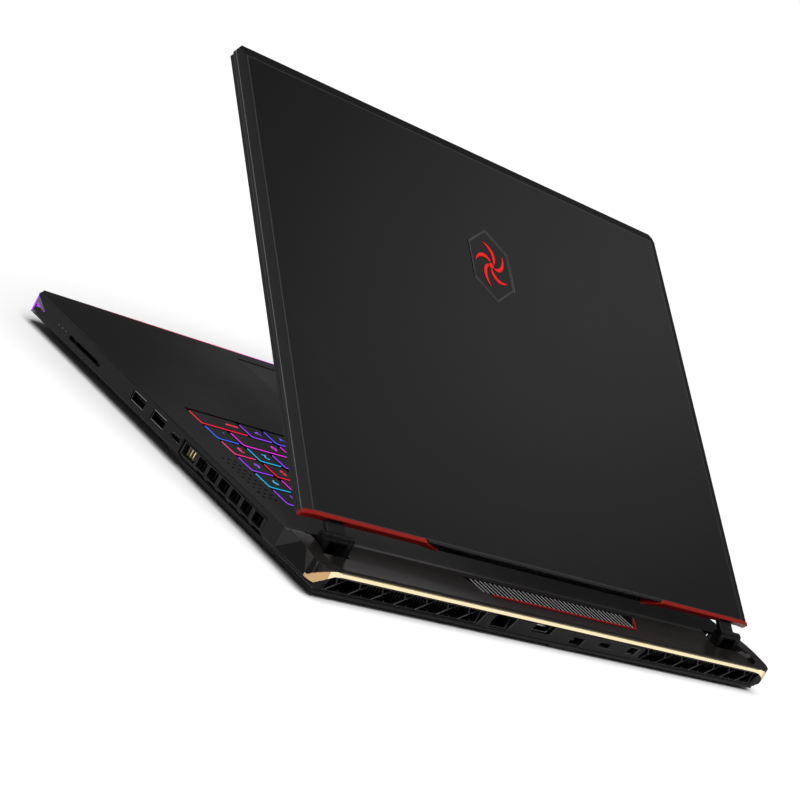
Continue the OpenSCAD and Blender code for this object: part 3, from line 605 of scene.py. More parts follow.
# Black of the rib bed, also laid on the ribs' sides as painted shade.
RIB_BED_AND_SIDE_SHADE = Finish("Rib bed black and painted rib side shade", Slot.RIB, (0.004, 0.004, 0.004), specular=0.1)
GRILLE = Finish("Grille moulded black", Slot.GRILLE, (0.0045, 0.0045, 0.0048), roughness=0.42,
                specular=0.14, grain=2400.0, depth=0.014, wear=0.10)
# Lighter finish for the vents' eased rims: part wear, part painted highlight.
GRILLE_RIM_WEAR_AND_HIGHLIGHT = Finish("Grille rim wear and painted highlight", Slot.GRILLE, (0.016, 0.016, 0.0165), roughness=0.3,
                     specular=0.3, grain=2400.0, depth=0.01, wear=0.3, wear_scale=160.0)
PLATE = Finish("Key plate dark", Slot.PLATE, (0.010, 0.010, 0.012), roughness=0.45, wear=0.05)
CAP = Finish("Key cap matte", Slot.CAP, (0.008, 0.008, 0.0085), roughness=0.44, specular=0.16,
             grain=3600.0, dust=0.02, wear=0.1, wear_scale=80.0)
KEY_GLOW = Finish("Key light", Slot.CAP, (0.02, 0.02, 0.02), glow=1.1, glow_painted=True,
                  grain=1500.0)
BAR_GLOW = Finish("Edge light", Slot.LIGHT, (0.03, 0.01, 0.03), roughness=0.35, glow=1.4,
                  glow_painted=True, grain=900.0)
BAR_LENS = Finish("Light bar lens", Slot.LIGHT, (0.030, 0.008, 0.040), roughness=0.16,
                  specular=0.5, coat=0.6, coat_roughness=0.08, grain=900.0, depth=0.004)
COPPER = Finish("Pipe copper", Slot.COPPER, (0.72, 0.33, 0.17), worn=(0.45, 0.19, 0.10),
                roughness=0.32, metallic=1.0, drawn=(20.0, 20.0, 2500.0), depth=0.005,
                tone=0.2, wear=0.4)
FINS = Finish("Fin gold metal", Slot.FINS, (1.0, 0.90, 0.56), worn=(0.95, 0.9, 0.7),
              roughness=0.34, metallic=0.75, drawn=DRAWN_ACROSS, depth=0.005, tone=0.15)
# A dark copy of the fin metal for fins away from the first side-vent cell: painted shade.
FINS_SHADE = Finish("Fin metal painted shade", Slot.FINS, (0.012, 0.011, 0.010), roughness=0.45,
                   metallic=0.3, specular=0.2, drawn=DRAWN_ACROSS, depth=0.005)
FAN = Finish("Fan moulded black", Slot.FAN, (0.018, 0.018, 0.019), roughness=0.4,
             grain=2600.0)
BOARD = Finish("Board lacquer", Slot.BOARD, (0.006, 0.035, 0.022), worn=(0.05, 0.14, 0.09),
               roughness=0.34, coat=0.3, grain=900.0, depth=0.02, tone=0.5, wear=0.5,
               wear_scale=260.0)
DRIVE = Finish("Drive board blue", Slot.DRIVE, (0.008, 0.045, 0.09), worn=(0.1, 0.2, 0.28),
               roughness=0.36, coat=0.2, tone=0.4, wear=0.4, wear_scale=300.0)
WRAP = Finish("Battery film", Slot.WRAP, (0.02, 0.021, 0.024), roughness=0.36, coat=0.25,
              grain=600.0, depth=0.03, tone=0.3)
PORT_METAL = Finish("Socket nickel", Slot.PORT_METAL, (0.26, 0.265, 0.27),
                    worn=(0.5, 0.5, 0.5), roughness=0.28, metallic=0.9,
                    drawn=DRAWN_ROUND, depth=0.004, tone=0.15)
PORT_BLACK = Finish("Socket moulded black", Slot.PORT_BLACK, (0.005, 0.005, 0.0055),
                    roughness=0.4, specular=0.15, grain=2600.0, depth=0.01)
# A near-black copy of the socket metal for the shells' insides: painted shade.
PORT_THROAT_SHADE = Finish("Socket throat painted shade", Slot.PORT_METAL, (0.004, 0.004, 0.0042),
                     specular=0.05, drawn=DRAWN_ROUND, depth=0.004)
INDICATOR = Finish("Indicator lens", Slot.PORT_BLACK, (0.03, 0.03, 0.032), roughness=0.2,
                   specular=0.4, coat=0.4, grain=1500.0, depth=0.003)
CONTACT = Finish("Contact gold plate", Slot.PORT_METAL, (0.82, 0.60, 0.26),
                 worn=(0.9, 0.8, 0.5), roughness=0.25, metallic=1.0, drawn=(60.0, 60.0, 900.0))
RUBBER = Finish("Foot rubber", Slot.RUBBER, (0.012, 0.012, 0.012), roughness=0.74,
                specular=0.25, grain=1400.0, depth=0.05, dust=0.2, tone=0.4)
SCREW = Finish("Screw blackened steel", Slot.SCREW, (0.09, 0.09, 0.095),
               worn=(0.4, 0.4, 0.4), roughness=0.34, metallic=0.9, wear=0.4, wear_scale=300.0)
PAD = Finish("Touchpad glass", Slot.PAD, (0.006, 0.006, 0.0063), roughness=0.40,
             specular=0.13, grain=6000.0, depth=0.004, dust=0.02, wear=0.08)
EMBLEM = Finish("Emblem black lacquer", Slot.EMBLEM, (0.003, 0.003, 0.0035), roughness=0.2,
                specular=0.08, coat=0.06, coat_roughness=0.06, grain=1200.0, depth=0.003)
EMBLEM_RIM = Finish("Emblem dark chrome", Slot.EMBLEM, (0.05, 0.05, 0.052), roughness=0.26,
                    metallic=0.8, drawn=(400.0, 400.0, 400.0), depth=0.003, tone=0.2)
EMBLEM_RED = Finish("Emblem lit red", Slot.EMBLEM, (0.42, 0.006, 0.005), roughness=0.35,
                    specular=0.1, glow=0.30, glow_colour=(1.0, 0.015, 0.012), grain=700.0,
                    tone=0.3)
SCREEN = Finish("Screen dark glass", Slot.SCREEN, (0.004, 0.004, 0.005), roughness=0.12,
                specular=0.5, grain=9000.0, depth=0.001, tone=0.3, dust=0.02, wear=0.0)
LENS = Finish("Camera lens glass", Slot.SCREEN, (0.004, 0.004, 0.010), roughness=0.06,
              specular=0.6, coat=1.0, coat_roughness=0.02, grain=4000.0, depth=0.0005)
HINGE_FINISH = Finish("Hinge black steel", Slot.LID_GLOSS, (0.005, 0.005, 0.0053),
                      roughness=0.36, specular=0.14, metallic=0.1, drawn=(2200.0, 30.0, 30.0),
                      depth=0.005, wear=0.2)


def dress(obj: bpy.types.Object, *finishes: Finish) -> bpy.types.Object:
    """Gives a new piece its finishes, one material slot each."""
    obj.data.materials.clear()
    for finish in finishes:
        obj.data.materials.append(finish.material())
    return obj


def dress_faces(obj: bpy.types.Object, index: int, test: Test) -> None:
    """Puts the faces that pass the test into a material slot."""
    for f in obj.data.polygons:
        if test(f.normal, f.center / MM):
            f.material_index = index


def dress_node(node: str, finish: Finish) -> None:
    """Gives a carried-over CAD node its finish."""
    obj = frame["nodes"][node]
    if not obj.material_slots:
        obj.data.materials.append(finish.material())
    for place in obj.material_slots:
        place.material = finish.material()
    log.info("dressed %s with %s", node, finish.label)


def hand_over(obj: bpy.types.Object, body: str, *nodes: str) -> bpy.types.Object:
    """Puts a finished piece on its body, in place of its CAD nodes."""
    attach(obj, body)
    if nodes:
        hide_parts(*nodes)
    log.info("made %s: %d faces on %s", obj.name, len(obj.data.polygons), body)
    return obj


def worked(node: str, name: str, body: str, finishes: Sequence[Finish], edge: float,
           segments: int = 2, pierced: bool = False, shade: float = 34.0,
           marked: Test | None = None, **limits: object) -> bpy.types.Object:
    """A CAD node's shape made into a finished piece that takes its place.

    Args:
        node: the CAD node.
        name: the piece's name.
        body: the body it moves with.
        finishes: its finishes, the first one on every face.
        edge: bevel width in millimetres.
        segments: facets across the bevel.
        pierced: says if its faces have many holes.
        shade: angle in degrees below which it is shaded smooth.
        marked: picks the faces that take the second finish.
        limits: which edges are rounded, as ease takes them.

    Returns:
        The piece.
    """
    obj = traced(node, name, pierced)
    dress(obj, *finishes)
    if marked:
        dress_faces(obj, 1, marked)
    ease(obj, edge, segments, **limits)
    smooth(obj, shade)
    return hand_over(obj, body, node)


def slotted(name: str, parts: Sequence[bpy.types.Object], slot: Slot, body: str,
            *nodes: str) -> None:
    """Joins dressed parts into one piece and hands it over."""
    piece = joined(name, parts)
    hand_over(piece, body, *nodes)


def paint_glow(obj: bpy.types.Object, colour_at: Callable[[Vector], Colour]) -> None:
    """Paints the glow attribute from each corner's place in millimetres."""
    mesh = obj.data
    layer = mesh.color_attributes.get("glow") or mesh.color_attributes.new(
        name="glow", type="FLOAT_COLOR", domain="CORNER")
    for loop in mesh.loops:
        layer.data[loop.index].color = (*colour_at(mesh.vertices[loop.vertex_index].co / MM), 1.0)


# ---- sub-assemblies ----

@dataclass
class BaseShell:
    """The deck, underside, exhaust block and their trims.

    Lengths are in millimetres. The ribs start and stop short of their bed's ends, and the
    accent's end bar leans over by end_lean.
    """

    deck_edge: float = 0.7
    small_edge: float = 0.22
    block_edge: float = 0.5
    corner_cut: float = 6.5
    gold_tail: float = 13.0
    rib_width: float = 1.3
    rib_pitch: float = 3.9
    rib_slant: float = -0.35
    rib_start: float = 11.5
    rib_stop: float = 2.5
    rib_rise: float = 1.5
    end_lean: float = 9.0
    end_rise: float = 1.3

    def build(self) -> None:
        """Builds and dresses the shell pieces."""
        self.deck()
        self.underside()
        self.exhaust_block()
        self.trims()

    def deck(self) -> None:
        """The top case, its outer rim broken by a fine chamfer that is lighter: edge wear and a
        painted highlight.
        """
        obj = traced("top_case", "deck_shell", pierced=True)
        dress(obj, DECK, CASE, CASE_EDGE_WEAR_AND_HIGHLIGHT)
        dress_faces(obj, 1, lambda n, c: n.z < 0.5)

        def outer(p: Vector) -> bool:
            return p.z > DECK_Z - 0.05 and (
                abs(p.x) > SIDE_X - 0.1 or p.y < FRONT_Y + self.corner_cut and (
                    p.y < FRONT_Y + 0.1 or abs(p.x) > SIDE_X - self.corner_cut))

        # the chamfer's faces take the lighter edge finish: wear and a painted highlight
        ease(obj, self.deck_edge, 2, where=outer, finish_slot=2)
        ease(obj, self.small_edge, 2, where=lambda p: not outer(p), shortest=2.0)
        smooth(obj)
        hand_over(obj, "base", "top_case")

    def underside(self) -> None:
        """The bottom cover with eased edges."""
        worked("bottom_cover", "underside_shell", "base", [CASE], self.small_edge, pierced=True,
               shortest=3.0)

    def exhaust_block(self) -> None:
        """The satin block behind the seam, with a scooped top; its eased edges take a lighter
        finish, wear and a painted highlight.
        """
        # the eased edges take the lighter edge finish: wear and a painted highlight
        worked("rear_block", "exhaust_block", "base", [BLOCK, REAR_PANEL, BLOCK_EDGE_WEAR_AND_HIGHLIGHT],
               self.block_edge, 3, pierced=True, shade=30, angle=24, shortest=3.0, finish_slot=2,
               marked=lambda n, c: n.z < 0.3 and c.z < DECK_Z - 4,
               where=lambda p: p.y > SEAM_Y + 4)

    def trims(self) -> None:
        """Gold trim with painted shade on its ends, ribs and the thin red line in the scoop."""
        # the trim's ends take the darker gold copy: painted shade
        worked("rear_trim", "gold_trim", "base", [GOLD, GOLD_TAIL_SHADE], 0.7, 4, shade=50,
               marked=lambda n, c: abs(c.x) > SIDE_X - self.gold_tail,
               where=lambda p: abs(p.x) < SIDE_X - self.gold_tail - 4)
        self.ribs()
        self.accent()

    def tip_up(self, obj: bpy.types.Object, rise: float) -> None:
        """Raises the top of a strip's front end, so that it follows the scoop."""
        middle = sum((v.co for v in obj.data.vertices), Vector()) / len(obj.data.vertices)
        for v in obj.data.vertices:
            if v.co.y < middle.y and v.co.z > middle.z:
                v.co.z += rise * MM

    def accent(self) -> None:
        """The thin red line behind the ribs, turned up at its far end."""
        lowest, highest = low("rear_accent"), high("rear_accent")
        line = traced("rear_accent", "line")
        end = block("end", (lowest.x + self.end_lean - 0.2, lowest.y - 0.5, lowest.z),
                    (lowest.x + self.end_lean + 1.2, highest.y, highest.z + 0.25))
        with faces_of(end, lambda n, c: n.y < -FACING):
            bpy.ops.transform.translate(value=(-self.end_lean * MM, 0, 0))
        self.tip_up(end, self.end_rise)
        run = block("run", (lowest.x + self.end_lean, highest.y - 1.2, lowest.z),
                    (highest.x, highest.y + 0.15, highest.z + 0.25))
        for part in (line, end, run):
            ease(part, 0.12, 2)
            dress(part, RED)
            smooth(part)
        slotted("scoop_accent", [line, end, run], Slot.RED, "base", "rear_accent")

    def ribs(self) -> None:
        """Slanted bright ribs on a black bed, their sides painted black as shade, one rib copied
        along the recess.
        """
        lowest, highest = low("rear_ribs"), high("rear_ribs")
        bed = traced("rear_ribs", "bed")
        with faces_of(bed):
            bpy.ops.mesh.bisect(plane_co=(0, 0, (lowest.z + 0.7) * MM), plane_no=(0, 0, 1),
                                use_fill=True, clear_outer=True)
        dress(bed, RIB_BED_AND_SIDE_SHADE)
        rib = block("rib", (0, lowest.y + 0.5, lowest.z + 0.6),
                    (self.rib_width, highest.y - 0.5, highest.z + 0.3))
        slant = self.rib_slant * (highest.y - lowest.y - 1)
        with faces_of(rib, facing(1)):
            bpy.ops.transform.translate(value=(slant * MM, 0, 0))
        self.tip_up(rib, self.rib_rise)
        ease(rib, 0.14, 2)
        dress(rib, RIB, RIB_BED_AND_SIDE_SHADE)
        # the rib's sides take the bed's black: painted shade between the ribs
        dress_faces(rib, 1, lambda n, c: n.z < 0.8)
        smooth(rib)
        parts = [bed]
        x = lowest.x + self.rib_start
        while x + self.rib_width < highest.x - self.rib_stop:
            parts.append(copy_of(rib, f"rib_{len(parts)}", (x, 0, 0)))
            x += self.rib_pitch
        bpy.data.objects.remove(rib)
        slotted("scoop_ribs", parts, Slot.RIB, "base", "rear_ribs")


@dataclass
class Grilles:
    """Side and rear vents."""

    edge: float = 0.22

    def build(self) -> None:
        """Builds and dresses the four vents, their eased rims lighter with wear and a painted
        highlight.
        """
        for side in SIDES:
            for kind in ("rear", "side"):
                worked(f"{kind}_grille_{side}", f"{kind}_vent_{side}", "base",
                       [GRILLE, GRILLE_RIM_WEAR_AND_HIGHLIGHT], self.edge, 1, pierced=True, shortest=0.8,
                       finish_slot=1)


class Hue(Enum):
    """Colours of the key lights."""

    RED = (1.0, 0.02, 0.06)
    PINK = (1.0, 0.05, 0.22)
    MAGENTA = (0.85, 0.04, 0.75)
    PURPLE = (0.35, 0.06, 1.0)
    INDIGO = (0.12, 0.10, 1.0)
    BLUE = (0.05, 0.16, 1.0)
    CYAN = (0.02, 0.50, 0.85)


def between(a: Colour, b: Colour, t: float) -> Colour:
    """The colour a part t of the way from a to b."""
    return tuple(p + (q - p) * t for p, q in zip(a, b))


@dataclass
class Keyboard:
    """Keys with lit skirts and legends, on their plate."""

    unit: float = 18.3
    row_depth: float = 17.4
    gap: float = 2.6
    band: float = 0.45
    rim: float = 0.2
    corner: float = 1.4
    dish: float = 0.1
    legend: float = 6.4
    left: float = field(init=False)
    front: float = field(init=False)
    foot: float = field(init=False)

    ROWS = (
        ((1.25, 1, 1, 1.25, 5.25, 1, 1, 1.25, 1, 1, 1, 2),
         ("ctrl", "fn", "sys", "alt", "", "alt", "fn", "ctrl", "<", "v", ">", "enter")),
        ((2.25, *(1,) * 10, 1.75, 1, 2, 1),
         ("shift", *"ZXCVBNM,./", "shift", *"^0.")),
        ((1.75, *(1,) * 11, 2.25, 1, 1, 1),
         ("caps", *"ASDFGHJKL;'", "enter", *"123")),
        ((1.5, *(1,) * 12, 1.5, 1, 1, 1),
         ("tab", *"QWERTYUIOP[]\\456")),
        ((1,) * 13 + (2, 1, 1, 1),
         (*"`1234567890-=", "back", *"789")),
        ((1,) * 18,
         ("esc", *(f"F{i}" for i in range(1, 13)), "prt", "ins", "del", "home", "|")),
    )
    BANKS = {
        "keys_modifier_row": ((0, 0, 3), (0, 5, 7)),
        "key_space": ((0, 4, 4),),
        "keys_arrows": ((0, 8, 10), (1, 12, 12)),
        "keys_lower_row": ((1, 0, 11),),
        "keys_home_row": ((2, 0, 12),),
        "keys_upper_row": ((3, 0, 13),),
        "keys_number_row": ((4, 0, 13),),
        "keys_numpad": ((0, 11, 11), (1, 13, 14), (2, 13, 15), (3, 14, 16), (4, 14, 16)),
        "keys_function_row": ((5, 0, 16),),
        "key_power": ((5, 17, 17),),
    }
    RIGHT_LIGHTS = {
        0: (Hue.RED, Hue.PURPLE, Hue.INDIGO, Hue.CYAN, Hue.MAGENTA),
        1: (Hue.BLUE, Hue.MAGENTA, Hue.MAGENTA, Hue.RED, Hue.PURPLE),
        2: (Hue.PINK, Hue.CYAN, Hue.PURPLE, Hue.MAGENTA, Hue.RED),
        3: (Hue.PURPLE, Hue.RED, Hue.RED, Hue.PINK, Hue.MAGENTA),
        4: (Hue.CYAN, Hue.MAGENTA, Hue.PINK, Hue.PURPLE, Hue.BLUE),
        5: (Hue.PURPLE, Hue.INDIGO, Hue.BLUE, Hue.CYAN, Hue.MAGENTA),
    }

    def __post_init__(self) -> None:
        """Takes the keyboard's place from the frame."""
        self.left = low("keyboard_plate").x
        self.front = low("keyboard_plate").y
        self.foot = low("keys_home_row").z

    def build(self) -> None:
        """Builds the plate and every bank of keys."""
        plate = traced("keyboard_plate", "key_plate", pierced=True)
        dress(plate, PLATE)
        ease(plate, 0.2, 1, shortest=2.0)
        hand_over(plate, "base", "keyboard_plate")
        cap = self.cap()
        for node, runs in self.BANKS.items():
            parts: list[bpy.types.Object] = []
            for row, first, last in runs:
                for index in range(first, last + 1):
                    parts += self.key(cap, row, index)
            name = node.replace("keys_", "caps_").replace("key_", "cap_")
            slotted(name, parts, Slot.CAP, node, node)
        bpy.data.objects.remove(cap)

    def cap(self) -> bpy.types.Object:
        """One single-width key cap: round corners, a lit band under the rim, a dished top."""
        wide, deep, tall = self.unit - self.gap, self.row_depth - self.gap, DECK_Z - self.foot
        band = tall - self.rim - self.band
        obj = block("cap", (0, 0, 0), (wide, deep, band))
        ease(obj, self.corner, 3, where=lambda p: abs(p.z - band / 2) < 0.1)
        for rise, shrink in ((self.band, 0.25), (self.rim, 0.5)):
            push(obj, facing(2), (0, 0, rise))
            squeeze(obj, facing(2), (1 - shrink / wide, 1 - shrink / deep, 1))
        inset(obj, facing(2, SQUARE), 1.0, self.dish)
        dress(obj, CAP, KEY_GLOW)
        dress_faces(obj, 1, lambda n, c: n.z < FACING and band < c.z < band + self.band)
        smooth(obj, 40)
        return obj

    def hue(self, row: int, index: int) -> Colour:
        """The light colour of one key, counted from the row's right end."""
        back = len(self.ROWS[row][0]) - 1 - index
        known = self.RIGHT_LIGHTS[row]
        if back < len(known):
            return known[back].value
        wheel = [hue.value for hue in Hue]
        step = (back + 2 * row) * 0.55
        a, b = (wheel[(int(step) + i) % len(wheel)] for i in (0, 1))
        return between(a, b, step % 1)

    def key(self, cap: bpy.types.Object, row: int, index: int) -> list[bpy.types.Object]:
        """One key.

        Args:
            cap: the single-width cap to copy.
            row: the row, counted from the front.
            index: the key in its row, counted from the left.

        Returns:
            The cap and its legend.
        """
        widths, legends = self.ROWS[row]
        start = sum(widths[:index])
        extra = (widths[index] - 1) * self.unit
        at = (self.left + start * self.unit + self.gap / 2,
              self.front + row * self.row_depth + self.gap / 2, self.foot)
        twin = copy_of(cap, f"cap_{row}_{index}")
        for v in twin.data.vertices:
            if v.co.x > (self.unit - self.gap) / 2 * MM:
                v.co.x += extra * MM
        twin.data.transform(Matrix.Translation(Vector(at) * MM))
        made = [twin]
        if legends[index]:
            made.append(self.legend_of(legends[index], at))
        colour = self.hue(row, index)
        for part in made:
            paint_glow(part, lambda p: colour)
        return made

    def legend_of(self, text: str, at: Point) -> bpy.types.Object:
        """A key's generic legend, laid on the cap's dished top."""
        pick()
        size, inward = (self.legend, 5.0) if len(text) == 1 else (self.legend * 0.6, 2.6)
        middle = at[1] + (self.row_depth - self.gap) / 2
        spot = Vector((at[0] + inward, middle - size * 0.4, DECK_Z - self.dish + 0.03))
        bpy.ops.object.text_add(location=spot * MM)
        obj = bpy.context.object
        obj.data.body = text
        obj.data.size = size * MM * 1.15
        obj.data.resolution_u = 2
        obj.data.offset = 0.00016
        bpy.ops.object.convert(target="MESH")
        obj = bpy.context.object
        bpy.ops.object.transform_apply(location=True, rotation=True, scale=True)
        obj.data.materials.clear()
        obj.data.materials.append(KEY_GLOW.material())
        return obj


@dataclass
class FrontLights:
    """The light bar across the front edge and the lit corner pieces."""

    proud: float = 0.15
    half_line: float = 184.0
    line_cuts: int = 23

    STOPS = (
        (-190.0, (0.28, 0.0, 0.75)), (-120.0, (0.05, 0.05, 0.8)), (-50.0, (0.3, 0.0, 0.7)),
        (10.0, (0.45, 0.0, 0.5)), (45.0, (0.75, 0.0, 0.16)), (110.0, (0.5, 0.0, 0.03)),
        (150.0, (0.03, 0.0, 0.02)), (190.0, (0.02, 0.0, 0.04)),
    )

    def along(self, p: Vector) -> Colour:
        """Light colour at a place along the front edge."""
        for (x0, a), (x1, b) in zip(self.STOPS, self.STOPS[1:]):
            if x0 <= p.x <= x1:
                return between(a, b, (p.x - x0) / (x1 - x0))
        return self.STOPS[0][1]

    def build(self) -> None:
        """Builds the bar and both corners."""
        lens = traced("front_light_bar", "light_bar_lens")
        dress(lens, BAR_LENS)
        ease(lens, 0.2, 2, shortest=1.0)
        smooth(lens)
        line = block("line", (-self.half_line, FRONT_Y - self.proud, DECK_Z - 0.9),
                     (self.half_line, FRONT_Y + 0.5, DECK_Z + 0.05))
        with faces_of(line):
            bpy.ops.mesh.subdivide(number_cuts=self.line_cuts)
        dress(line, BAR_GLOW)
        paint_glow(line, self.along)
        bar = joined("light_bar", [lens, line])
        hand_over(bar, "base", "front_light_bar")
        right = self.corner()
        left = copy_of(right, "corner_light_left", flip_x=True)
        right.name = "corner_light_right"
        for obj in (right, left):
            hand_over(obj, "base")

    def corner(self) -> bpy.types.Object:
        """A wedge-shaped lit outline on the side wall behind the front corner."""
        x, y0, y1 = SIDE_X, FRONT_Y + 6.2, FRONT_Y + 18.5
        z0, z1 = 6.6, DECK_Z - 1.2
        plate = block("plate", (x - 0.5, y0, z0), (x + 0.12, y1, z1))
        squeeze(plate, facing(1), (1, 1, 0.10))
        inset(plate, facing(0), 1.1)
        dress(plate, BAR_LENS, BAR_GLOW)
        dress_faces(plate, 1, lambda n, c: n.x > FACING and (c - Vector(
            (x + 0.12, (y0 + y1) / 2, (z0 + z1) / 2))).length > 2.6)
        middle = block("middle", (x - 0.3, y0 + 3.0, z0 + 4.6), (x + 0.2, y0 + 6.6, z1 - 4.2))
        squeeze(middle, facing(1), (1, 1, 0.15))
        ease(middle, 0.1, 1)
        dress(middle, BAR_GLOW)
        parts = [plate, middle]
        for part in parts:
            paint_glow(part, lambda p: (0.42, 0.0, 1.0))
        return joined("corner", parts)


@dataclass
class Touchpad:
    """The glass touchpad."""

    rim: float = 0.5

    def build(self) -> None:
        """A plate with a ground rim, lighter with wear and a painted highlight, and a thin step
        round its face.
        """
        obj = traced("touchpad", "touchpad_plate")
        dress(obj, PAD, CASE_EDGE_WEAR_AND_HIGHLIGHT)
        ease(obj, self.rim, 2, finish_slot=1)
        inset(obj, facing(2, SQUARE), 0.8, 0.03)
        smooth(obj)
        hand_over(obj, "touchpad", "touchpad")


@dataclass
class Lid:
    """The display lid: cover, emblem, trims, bezel, screen and camera."""

    bevel_edge: float = 0.35
    blades: int = 5
    blade_steps: int = 9
    blade_turn: float = 1.25
    blade_root: float = 2.6
    blade_length: float = 11.6
    blade_width: float = 2.5

    def build(self) -> None:
        """Builds and dresses the lid's pieces."""
        self.cover()
        self.emblem()
        self.rear_edge()
        self.face()
        self.hinge_arms()

    def cover(self) -> None:
        """The metal cover, its bevelled border eased and finished lighter: a ground edge with a
        painted highlight.
        """
        worked("lid_cover", "lid_shell", "lid", [LID, LID_EDGE_AND_HIGHLIGHT], self.bevel_edge, shade=20,
               angle=8, shortest=20.0, finish_slot=1)

    def emblem(self) -> None:
        """A six-sided badge with a rim and a plain swirl of curved blades."""
        lowest, highest = low("lid_emblem"), high("lid_emblem")
        centre = off_lid((lowest + highest) / 2)
        badge = traced("lid_emblem", "badge")
        badge.data.transform(lid_turn(-LID_OPEN, MM))
        top = max(v.co.z for v in badge.data.vertices) / MM
        dress(badge, EMBLEM, EMBLEM_RIM)
        ease(badge, 0.3, 2, finish_slot=1, where=lambda p: p.z > top - 0.1)
        inset(badge, lambda n, c: n.z > SQUARE and c.z > top - 0.1, 1.3, 0.35)
        dress_faces(badge, 1, lambda n, c: c.z > top - 0.34)
        top += 0.15
        blades = [self.blade(centre, top, i) for i in range(self.blades)]
        hub = disc("hub", (centre.x, centre.y, top - 0.45), 1.9, 0.5, 20)
        ease(hub, 0.15, 2)
        dress(hub, EMBLEM_RED)
        badge = joined("lid_badge", [badge, hub, *blades])
        smooth(badge, 30)
        badge.data.transform(lid_turn(LID_OPEN, MM))
        hand_over(badge, "lid", "lid_emblem")

    def blade(self, centre: Vector, top: float, index: int) -> bpy.types.Object:
        """One curved blade of the swirl, spun out of a small block and tapered."""
        steps = self.blade_steps
        base = 2 * math.pi * index / self.blades
        points = []
        for k in range(steps + 1):
            t = k / steps
            angle = base + self.blade_turn * t
            reach = self.blade_root + self.blade_length * t
            width = self.blade_width * math.sin(math.pi * (0.16 + 0.80 * t))
            points.append((reach * math.cos(angle), reach * math.sin(angle) * 1.1,
                           angle + 0.9, width))
        obj = block(f"blade_{index}", (-0.5, -0.5, 0), (0.5, 0.5, 0.5))
        for k in range(steps - 1):
            push(obj, lambda n, c, k=k: n.y > FACING and c.y > k + 0.4, (0, 1, 0))
        for v in obj.data.vertices:
            p = v.co / MM
            k = min(steps, max(0, round(p.y + 0.5)))
            px, py, heading, width = points[k]
            side = 0.5 * width * (1 if p.x > 0 else -1)
            v.co = Vector((centre.x + px - side * math.sin(heading),
                           centre.y + py + side * math.cos(heading),
                           top - 0.5 + p.z)) * MM
        ease(obj, 0.12, 1, angle=50)
        dress(obj, EMBLEM_RED)
        with faces_of(obj):
            bpy.ops.mesh.normals_make_consistent(inside=False)
        return obj

    def rear_edge(self) -> None:
        """Red corner trims and the bar between them."""
        for side in SIDES:
            worked(f"lid_trim_{side}", f"lid_red_trim_{side}", "lid", [RED], 0.25, shortest=0.8)
        # the bar's eased edges take the lighter edge finish: a ground edge with a painted
        # highlight
        worked("lid_rear_bar", "lid_rear_bar_strip", "lid", [LID_RIM, LID_EDGE_AND_HIGHLIGHT], 0.15,
               shortest=3.0, finish_slot=1)

    def face(self) -> None:
        """Bezel, screen, camera and the small bumpers."""
        worked("display_bezel", "screen_bezel", "lid", [BEZEL, CASE_EDGE_WEAR_AND_HIGHLIGHT], 0.3, pierced=True,
               shortest=10.0)
        worked("display_panel", "screen_panel", "lid", [SCREEN], 0.2)
        camera = traced("webcam_module", "camera_module")
        dress(camera, BOARD, LENS)
        ease(camera, 0.1, 2, shortest=0.5, angle=50)
        centre = off_lid((low("webcam_module") + high("webcam_module")) / 2)
        dress_faces(camera, 1, lambda n, c: (off_lid(c) - centre).xy.length < 2.0)
        smooth(camera)
        hand_over(camera, "lid", "webcam_module")
        worked("bezel_bumpers", "bezel_pads", "lid", [RUBBER], 0.12)

    def hinge_arms(self) -> None:
        """The arms that carry the lid."""
        for side in SIDES:
            worked(f"hinge_arm_{side}", f"lid_arm_{side}", "lid", [HINGE_FINISH], 0.2,
                   shortest=2.0)


